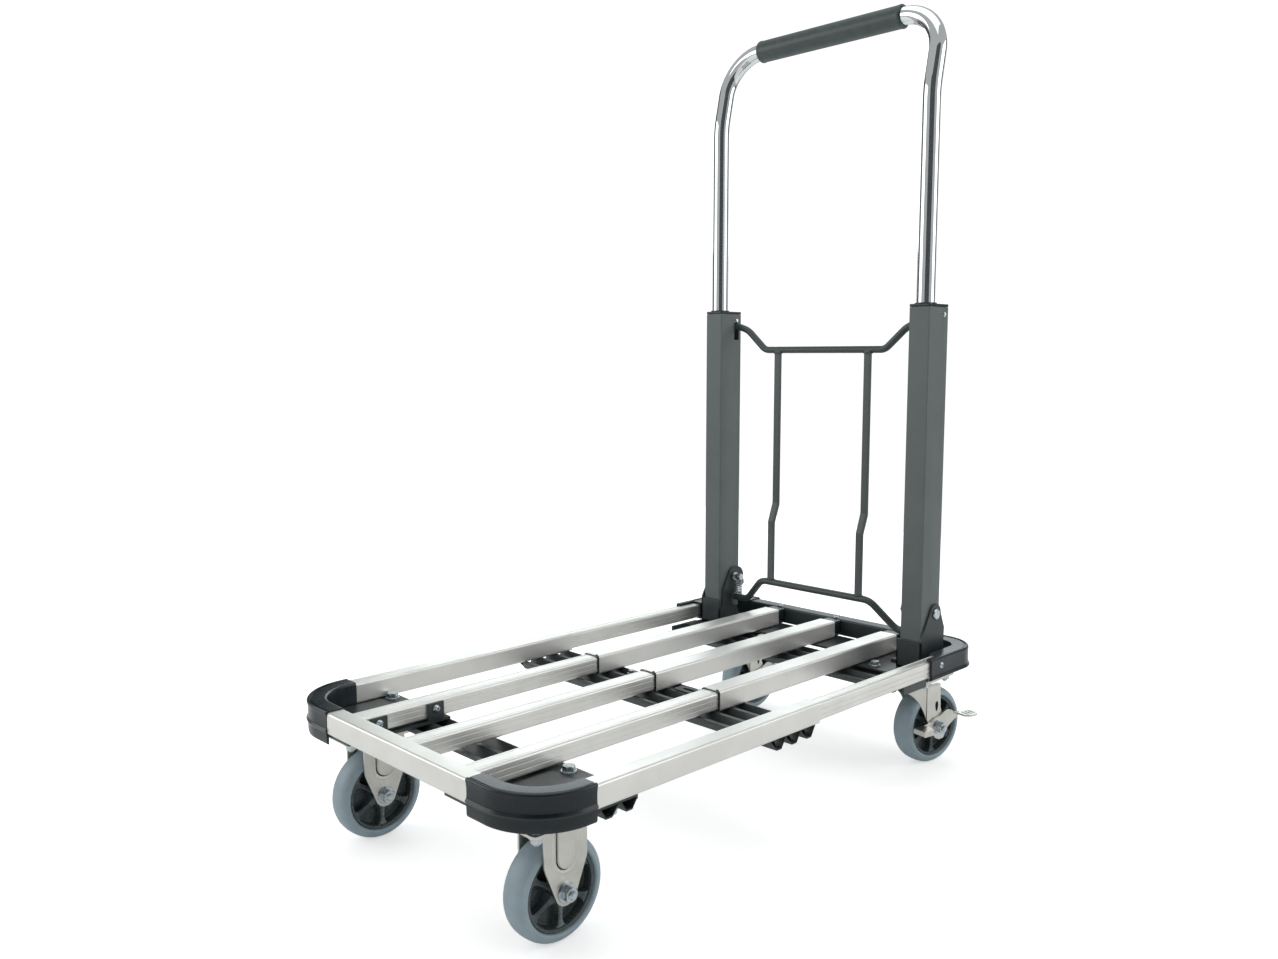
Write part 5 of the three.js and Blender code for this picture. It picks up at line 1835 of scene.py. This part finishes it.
@dataclass
class HandlePosts:
    """The two square posts with their caps, rivets and return springs.

    Fields:
        spring_turns: turns of a return spring.
        spring_radius: its mean radius.
        wire: its wire's radius.
    """

    shop: Shop
    spring_turns: float = 7.5
    spring_radius: float = 4.7
    wire: float = 0.7

    def post(self, side: Side) -> None:
        """Builds one post from the CAD tube, with rounded edges."""
        node = f"handle_post_{side.word}"
        form = self.shop.refined(node, 0.5)
        self.shop.add(f"{node}_tube", form, GREY_POWDER_COAT, "handle_posts", [node], smooth=48.0)

    def cap(self, side: Side) -> None:
        """Builds one cap: a lid with a wiper ring round the chrome tube and a plug below."""
        node = f"post_cap_{side.word}"
        x, y, z = self.shop.span("post_cap_right")
        post_z = self.shop.span("handle_post_right")[2]
        tube_x = self.shop.span("handle_tube")[0][1] - PullHandle.radius
        tube_y = self.shop.span("handle_tube")[1][0] + PullHandle.radius
        bore = circle(11.4, (tube_x, tube_y), 56)
        form = Form()
        lid = rounded_rectangle(x, y, 2.4)
        form.plate([lid, bore], post_z[1] + 0.3, z[1], Axis.Z, 0.7)
        plug = rounded_rectangle((x[0] + 1.9, x[1] - 1.9), (y[0] + 1.9, y[1] - 1.9), 1.4)
        form.plate([plug, bore], z[0], post_z[1] + 0.6, Axis.Z, 0.3)
        ring = [(11.35, -1.0), (11.35, 1.2), (11.8, 1.6), (12.8, 1.3), (13.4, 0.4), (13.5, -1.0)]
        place = Matrix.Translation((tube_x, tube_y, 0))
        form.lathe(shifted(ring, 0.0, z[1]), place, loop=True, segments=64)
        self.shop.add(
            f"{node}_moulding", form.on_side(side), MOULDED_PLASTIC, "handle_posts", [node]
        )

    def rivet(self, side: Side) -> None:
        """Builds the rivet through the top of one post."""
        node = f"post_rivet_{side.word}"
        x, y, z = self.shop.span("post_rivet_right")
        place = axis_matrix((0, (y[0] + y[1]) / 2, (z[0] + z[1]) / 2), (1, 0, 0))
        profile = [
            (1.2, x[0]), (2.4, x[0] + 0.4), (3.2, x[0] + 1.5), (2.4, x[0] + 1.6),
            (2.4, x[1] - 1.6), (3.2, x[1] - 1.5), (2.4, x[1] - 0.4), (1.2, x[1]),
        ]
        form = Form().lathe(profile, place, segments=36)
        self.shop.add(
            f"{node}_headed", form.on_side(side), ZINC_FASTENER, "handle_posts", [node]
        )

    def spring(self, side: Side) -> None:
        """Builds one return spring as a close coil of round wire."""
        node = f"return_spring_{side.word}"
        x, y, z = self.shop.span("return_spring_right")
        centre = ((x[0] + x[1]) / 2, (y[0] + y[1]) / 2)
        steps = int(self.spring_turns * 24)
        low = z[0] + self.wire
        rise = z[1] - z[0] - 2 * self.wire
        path = []
        for i in range(steps + 1):
            share = i / steps
            angle = 2 * math.pi * self.spring_turns * share
            climb = min(max((share - 0.08) / 0.84, 0.0), 1.0) * (rise - 2.4 * self.wire)
            climb += 1.2 * self.wire * (min(share / 0.08, 1.0) + max((share - 0.92) / 0.08, 0.0))
            across = centre[0] + self.spring_radius * math.cos(angle)
            along = centre[1] + self.spring_radius * math.sin(angle)
            path.append(Vector((across, along, low + climb)))
        form = Form().bar(path, self.wire, 10, (1, 0, 0))
        self.shop.add(f"{node}_coil", form.on_side(side), ZINC_FASTENER, "handle_posts", [node])

    def build(self) -> None:
        """Builds both posts and what sits on them."""
        for side in Side:
            self.post(side)
            self.cap(side)
            self.rivet(side)
            self.spring(side)


@dataclass
class PullHandle:
    """The chrome tube that slides in the posts, and its foam grip.

    Fields:
        radius: outer radius of the tube.
        wall: its wall.
        bend_start: height where the legs lean back.
        bend_radius: radius of that bend.
        lean: how far the top leans back, in degrees.
        grip_half: half of the grip's length.
    """

    shop: Shop
    radius: float = 11.0
    wall: float = 1.2
    bend_start: float = 825.0
    bend_radius: float = 120.0
    lean: float = 12.0
    grip_half: float = 111.0

    def half_path(self, side: Side, leg: Vector, top: float) -> list[Vector]:
        """One leg's centre line from its foot to the middle of the top.

        Args:
            side: which leg.
            leg: the right leg's foot.
            top: height of the grip's axis.

        Returns:
            The points from the foot up.
        """
        lean = math.radians(self.lean)
        x = side.value * leg.x
        points = [Vector((x, leg.y, leg.z)), Vector((x, leg.y, self.bend_start - 1))]
        for i in range(13):
            angle = lean * i / 12
            back = self.bend_radius * (1 - math.cos(angle))
            rise = self.bend_radius * math.sin(angle)
            points.append(Vector((x, leg.y + back, self.bend_start + rise)))
        direction = Vector((0, math.sin(lean), math.cos(lean)))
        last = points[-1]
        length = (top - last.z) / math.cos(lean)
        corner_radius = leg.x - self.grip_half
        start = last + direction * (length - corner_radius)
        centre = Vector((side.value * self.grip_half, start.y, start.z))
        for i in range(33):
            angle = math.pi / 2 * i / 32
            point = centre + direction * corner_radius * math.sin(angle)
            point.x += side.value * corner_radius * math.cos(angle)
            points.append(point)
        return points

    def build(self) -> None:
        """Builds the tube and the grip."""
        x, y, z = self.shop.span("handle_tube")
        _, grip_y, grip_z = self.shop.span("grip")
        leg = Vector((x[1] - self.radius, y[0] + self.radius, z[0]))
        top = (grip_z[0] + grip_z[1]) / 2
        left = self.half_path(Side.LEFT, leg, top)
        path = left + list(reversed(self.half_path(Side.RIGHT, leg, top)))
        self.shop.add("handle_tube_chrome", self.tube(path), CHROME, "handle_slide", ["handle_tube"])
        bore = self.radius + 0.2
        r = (grip_z[1] - grip_z[0]) / 2
        end = [(-1.8, 0.0), (-0.8, -0.3), (-0.1, -1.2), (0.0, -2.4), (-0.3, -4.4), (-0.5, -7.0)]
        half = [(bore, self.grip_half - 0.4), *shifted(end, r, self.grip_half)]
        half.append((r - 0.5, self.grip_half * 0.5))
        profile = half + [(a, -b) for a, b in reversed(half)]
        place = axis_matrix((0, (grip_y[0] + grip_y[1]) / 2, top), (1, 0, 0))
        grip = Form().lathe(profile, place, loop=True, segments=72)
        piece = self.shop.add("grip_foam", grip, FOAM, "handle_slide", ["grip"])

    def tube(self, path: list[Vector]) -> Form:
        """The round tube with its open bore along a path."""
        form = Form()
        for radius in (self.radius, self.radius - self.wall):
            part = Form().bar(path, radius, 40, (1, 0, 0))
            caps = [face for face in part.mesh.faces if len(face.verts) > 4]
            bmesh.ops.delete(part.mesh, geom=caps, context="FACES_ONLY")
            form.take(part)
        rims = [rim for rim in form.mesh.edges if rim.is_boundary and rim.verts[0].co.x < 0]
        bmesh.ops.bridge_loops(form.mesh, edges=rims)
        rims = [rim for rim in form.mesh.edges if rim.is_boundary]
        bmesh.ops.bridge_loops(form.mesh, edges=rims)
        return form


@dataclass
class ReleaseFrame:
    """The sprung frame that unlocks the handle: two bent rods joined by two flat bars.

    Fields:
        rod: radius of the rods.
        bar_width: width of a bar.
        bar_depth: depth of a bar.
        bar_x: distance of a bar from the middle.
        upper_y: y of the upper rod.
        lower_y: y of the lower rod's middle.
        upper_z: height of the upper rod's middle.
        lower_z: height of the lower rod's middle.
        jog_top: height where a bar starts to step forward.
        jog_bottom: height where the step ends.
    """

    shop: Shop
    rod: float = 4.6
    bar_width: float = 9.5
    bar_depth: float = 5.0
    bar_x: float = 73.0
    upper_y: float = 669.0
    lower_y: float = 658.0
    upper_z: float = 532.5
    lower_z: float = 208.5
    jog_top: float = 320.0
    jog_bottom: float = 295.0

    def rounded_path(self, half: Sequence[tuple[float, float, float]], bend: float) -> list[Vector]:
        """A symmetric rod's centre line with rounded bends.

        Args:
            half: corners of the right half, from the middle outwards.
            bend: how far before a corner its bend starts.

        Returns:
            The centre line from left to right.
        """
        right = [Vector(corner) for corner in half]
        left = [Vector((-corner.x, corner.y, corner.z)) for corner in reversed(right)]
        corners = left + right
        points = [corners[0]]
        for i in range(1, len(corners) - 1):
            here = corners[i]
            before = (corners[i - 1] - here).normalized()
            after = (corners[i + 1] - here).normalized()
            points += bent(here + before * bend, here, here + after * bend, 10)
        points.append(corners[-1])
        return points

    def bar(self) -> Form:
        """One flat bar with its forward jog, on the right."""
        back = self.upper_y - 2
        front = self.lower_y - 0.5
        half = self.bar_depth / 2
        outline = filleted(
            [
                (back - half, self.upper_z, 0), (back - half, self.jog_top, 9),
                (front - half, self.jog_bottom, 9), (front - half, self.lower_z, 0),
                (front + half, self.lower_z, 0), (front + half, self.jog_bottom - 2, 9),
                (back + half, self.jog_top - 2, 9), (back + half, self.upper_z, 0),
            ]
        )
        low = self.bar_x - self.bar_width / 2
        return Form().plate([outline], low, low + self.bar_width, Axis.X, 0.9)

    def weld(self, x: float, y: float, z: float) -> Form:
        """A weld bead round the foot of a bar."""
        rings = []
        for angle in turns(28):
            ripple = 1 + 0.05 * math.sin(7 * angle)
            reach_x = (self.bar_width / 2 + 0.6) * ripple
            reach_y = (self.bar_depth / 2 + 0.5) * ripple
            out = Vector((math.cos(angle), math.sin(angle), 0))
            here = Vector((x + reach_x * out.x, y + reach_y * out.y, z))
            bead = circle(1.3, steps=8)
            rings.append([here + out * u + Vector((0, 0, v)) for u, v in bead])
        return Form().add_rings(rings, loop=True)

    def build(self) -> None:
        """Builds the frame."""
        x, _, z = self.shop.span("release_frame")
        end_top = z[1] - self.rod
        end_low = z[0] + self.rod
        inner_end = self.shop.span("pivot_bracket_right")[0][0] + 17.4
        upper = self.rounded_path(
            [
                (97.0, self.upper_y, self.upper_z), (128.0, self.upper_y, end_top - 6),
                (146.3, self.upper_y, end_top), (x[1], self.upper_y, end_top),
            ],
            7.0,
        )
        lower = self.rounded_path(
            [
                (90.0, self.lower_y, self.lower_z), (125.0, self.upper_y, end_low),
                (inner_end, self.upper_y, end_low),
            ],
            9.5,
        )
        form = Form()
        form.bar(upper, self.rod, 28, (0, 1, 0))
        form.bar(lower, self.rod, 28, (0, 1, 0))
        bar = self.bar()
        form.take(bar)
        form.take(bar, Matrix.Scale(-1, 4, (1, 0, 0)))
        for facing in (1, -1):
            form.take(self.weld(facing * self.bar_x, self.upper_y - 2, self.upper_z - 4.4))
            form.take(self.weld(facing * self.bar_x, self.lower_y - 0.5, self.lower_z + 4.4))
        node = "release_frame"
        # The frame takes the grey powder coat with its tone painted darker as painted shade.
        self.shop.add(f"{node}_welded", form, SHADED_GREY_POWDER_COAT, "release", [node])


# ---------------------------------------------------------------- studio


@dataclass
class Studio:
    """The camera, the pale floor and the soft lights.

    Fields:
        camera_at: the camera's place, in cart millimetres.
        yaw: how far the camera turns to the left of +y, in degrees.
        pitch: how far it looks down, in degrees.
        lens: focal length in millimetres.
        sensor_width: width of the camera's sensor in millimetres.
        floor_glow: how much the floor glows towards the camera.
        floor_half: half of the floor's side, in metres.
        lit: the point that the lights are turned to, in metres.
        flagged: the point that the flags are turned to, in metres.
        sky_strength: strength of the sky as a light, and towards the camera.
    """

    shop: Shop
    camera_at: tuple[float, float, float] = (871.7, -523.1, 524.4)
    yaw: float = 45.7
    pitch: float = 6.5
    lens: float = 30.58
    sensor_width: float = 36.0
    floor_glow: float = 0.5
    floor_half: float = 1.9
    lit: tuple[float, float, float] = (0.0, 0.0, 0.35)
    flagged: tuple[float, float, float] = (0.0, 0.0, 0.5)
    sky_strength: Point2 = (0.48, 1.05)

    def camera(self) -> None:
        """Makes the camera."""
        data = bpy.data.cameras.new("camera")
        data.sensor_width = self.sensor_width
        data.lens = self.lens
        data.clip_start = 0.02
        data.clip_end = 60.0
        camera = bpy.data.objects.new("camera", data)
        x, y, z = self.camera_at
        camera.location = (x * MM, y * MM + self.shop.front_y, z * MM)
        camera.rotation_euler = (math.radians(90 - self.pitch), 0.0, math.radians(self.yaw))
        bpy.context.scene.collection.objects.link(camera)
        bpy.context.scene.camera = camera

    @staticmethod
    def card(
        name: str, place: Matrix, size: Point2, material: bpy.types.Material
    ) -> bpy.types.Object:
        """A flat sheet of the given width and height."""
        w, h = size[0] / 2, size[1] / 2
        corners = [place @ Vector((u, v, 0)) for u, v in ((-w, -h), (w, -h), (w, h), (-w, h))]
        form = bmesh.new()
        form.faces.new([form.verts.new(corner) for corner in corners])
        mesh = bpy.data.meshes.new(name)
        form.to_mesh(mesh)
        form.free()
        mesh.materials.append(material)
        return bpy.data.objects.new(name, mesh)

    def floor(self) -> None:
        """Makes the floor as a wide sheet of opal acrylic that glows a little."""
        material = bpy.data.materials.new("opal_acrylic_lit_from_below")
        material.use_nodes = True
        tree = material.node_tree
        shader = tree.nodes["Principled BSDF"]
        shader.inputs["Roughness"].default_value = 0.9
        shader.inputs["Specular IOR Level"].default_value = 0.1
        shader.inputs["Emission Color"].default_value = linear("#FFFFFF")
        seen = add_node(tree, "ShaderNodeLightPath", {}).outputs["Is Camera Ray"]
        glow = add_node(
            tree, "ShaderNodeMath", {0: seen, 1: self.floor_glow}, operation="MULTIPLY"
        ).outputs["Value"]
        tree.links.new(glow, shader.inputs["Emission Strength"])
        place = add_node(tree, "ShaderNodeTexCoord", {}).outputs["Object"]
        mottle = add_node(
            tree, "ShaderNodeTexNoise", {"Vector": place, "Scale": per_metre(400.0), "Detail": 4.0}
        ).outputs["Fac"]
        tone = add_node(
            tree,
            "ShaderNodeMix",
            {"Factor": mottle, 6: linear("#F7F7F7"), 7: linear("#F3F3F2")},
            data_type="RGBA",
        ).outputs[2]
        tree.links.new(tone, shader.inputs["Base Color"])
        size = (2 * self.floor_half, 2 * self.floor_half)
        floor = self.card("floor", Matrix.Identity(4), size, material)
        bpy.context.scene.collection.objects.link(floor)

    def light(
        self,
        name: str,
        at: tuple[float, float, float],
        size: Point2,
        watts: float,
        colour: str = "#FFFFFF",
    ) -> None:
        """Makes one soft box.

        Args:
            name: its name.
            at: its place in metres.
            size: its width and height in metres.
            watts: its power.
            colour: its colour.
        """
        data = bpy.data.lights.new(name, "AREA")
        data.shape = "RECTANGLE"
        data.size = size[0]
        data.size_y = size[1]
        data.energy = watts
        data.color = linear(colour)[:3]
        lamp = bpy.data.objects.new(name, data)
        lamp.location = at
        direction = Vector(self.lit) - Vector(at)
        lamp.rotation_euler = direction.to_track_quat("-Z", "Y").to_euler()
        bpy.context.scene.collection.objects.link(lamp)

    def flag(self, name: str, at: tuple[float, float, float], size: Point2) -> None:
        """Makes a black card that only reflections see, for the dark lines in the chrome."""
        turn = (Vector(self.flagged) - Vector(at)).to_track_quat("-Z", "Y")
        place = Matrix.Translation(at) @ turn.to_matrix().to_4x4()
        material = bpy.data.materials.new("black_felt")
        material.use_nodes = True
        shader = material.node_tree.nodes["Principled BSDF"]
        shader.inputs["Base Color"].default_value = linear("#4E5254")
        shader.inputs["Roughness"].default_value = 1.0
        card = self.card(name, place, size, material)
        card.visible_camera = False
        card.visible_diffuse = False
        card.visible_shadow = False
        card.visible_transmission = False
        bpy.context.scene.collection.objects.link(card)

    def sky(self) -> None:
        """Makes the surround: plain white to the camera, and dimmer as a light."""
        world = bpy.data.worlds.new("studio")
        world.use_nodes = True
        tree = world.node_tree
        background = tree.nodes["Background"]
        background.inputs["Color"].default_value = linear("#FFFFFF")
        seen = add_node(tree, "ShaderNodeLightPath", {}).outputs["Is Camera Ray"]
        dim, full = self.sky_strength
        strength = add_node(
            tree, "ShaderNodeMapRange", {"Value": seen, "To Min": dim, "To Max": full}
        ).outputs["Result"]
        tree.links.new(strength, background.inputs["Strength"])
        bpy.context.scene.world = world

    def build(self) -> None:
        """Builds the studio."""
        self.camera()
        self.floor()
        self.sky()
        self.light("front_left_soft_box", (-1.9, -1.9, 1.3), (2.0, 1.6), 19.0)
        self.light("back_right_soft_box", (2.1, 1.6, 1.2), (1.8, 1.6), 16.0)
        self.light("back_soft_box", (-2.2, 1.9, 1.5), (4.0, 1.2), 27.0, "#EAF6F8")
        self.light("top_soft_box", (0.0, 0.0, 3.2), (2.6, 2.6), 24.0, "#EFF8F9")
        self.flag("camera_flag", (1.75, -1.6, 1.0), (2.6, 3.2))
        self.flag("left_flag", (-2.45, 0.25, 1.1), (1.5, 1.8))
        self.flag("right_flag", (1.42, 2.55, 1.1), (1.5, 1.8))
        bpy.context.scene.view_settings.view_transform = "Standard"


# ---------------------------------------------------------------- making


def main() -> None:
    """Builds the cart piece by piece round its frame."""
    logging.basicConfig(level=logging.INFO, format="%(message)s")
    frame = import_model()
    shop = Shop(frame)
    steps: list[tuple[str, Any]] = [
        ("studio", Studio(shop)), ("deck extrusions", DeckExtrusions(shop)),
        ("corner covers", CornerCovers(shop)), ("pressed steel", PressedSteel(shop)),
    ]
    for side in Side:
        steps.append((f"front caster {side.word}", FixedCaster(shop, side)))
        steps.append((f"rear caster {side.word}", SwivelCaster(shop, side)))
        steps.append((f"pivot bracket {side.word}", PivotBracket(shop, side)))
    steps.append(("handle posts", HandlePosts(shop)))
    steps.append(("pull handle", PullHandle(shop)))
    steps.append(("release frame", ReleaseFrame(shop)))
    for name, step in steps:
        before = shop.count
        step.build()
        LOG.info("%s: %d pieces", name, shop.count - before)


if __name__ == "__main__":
    main()
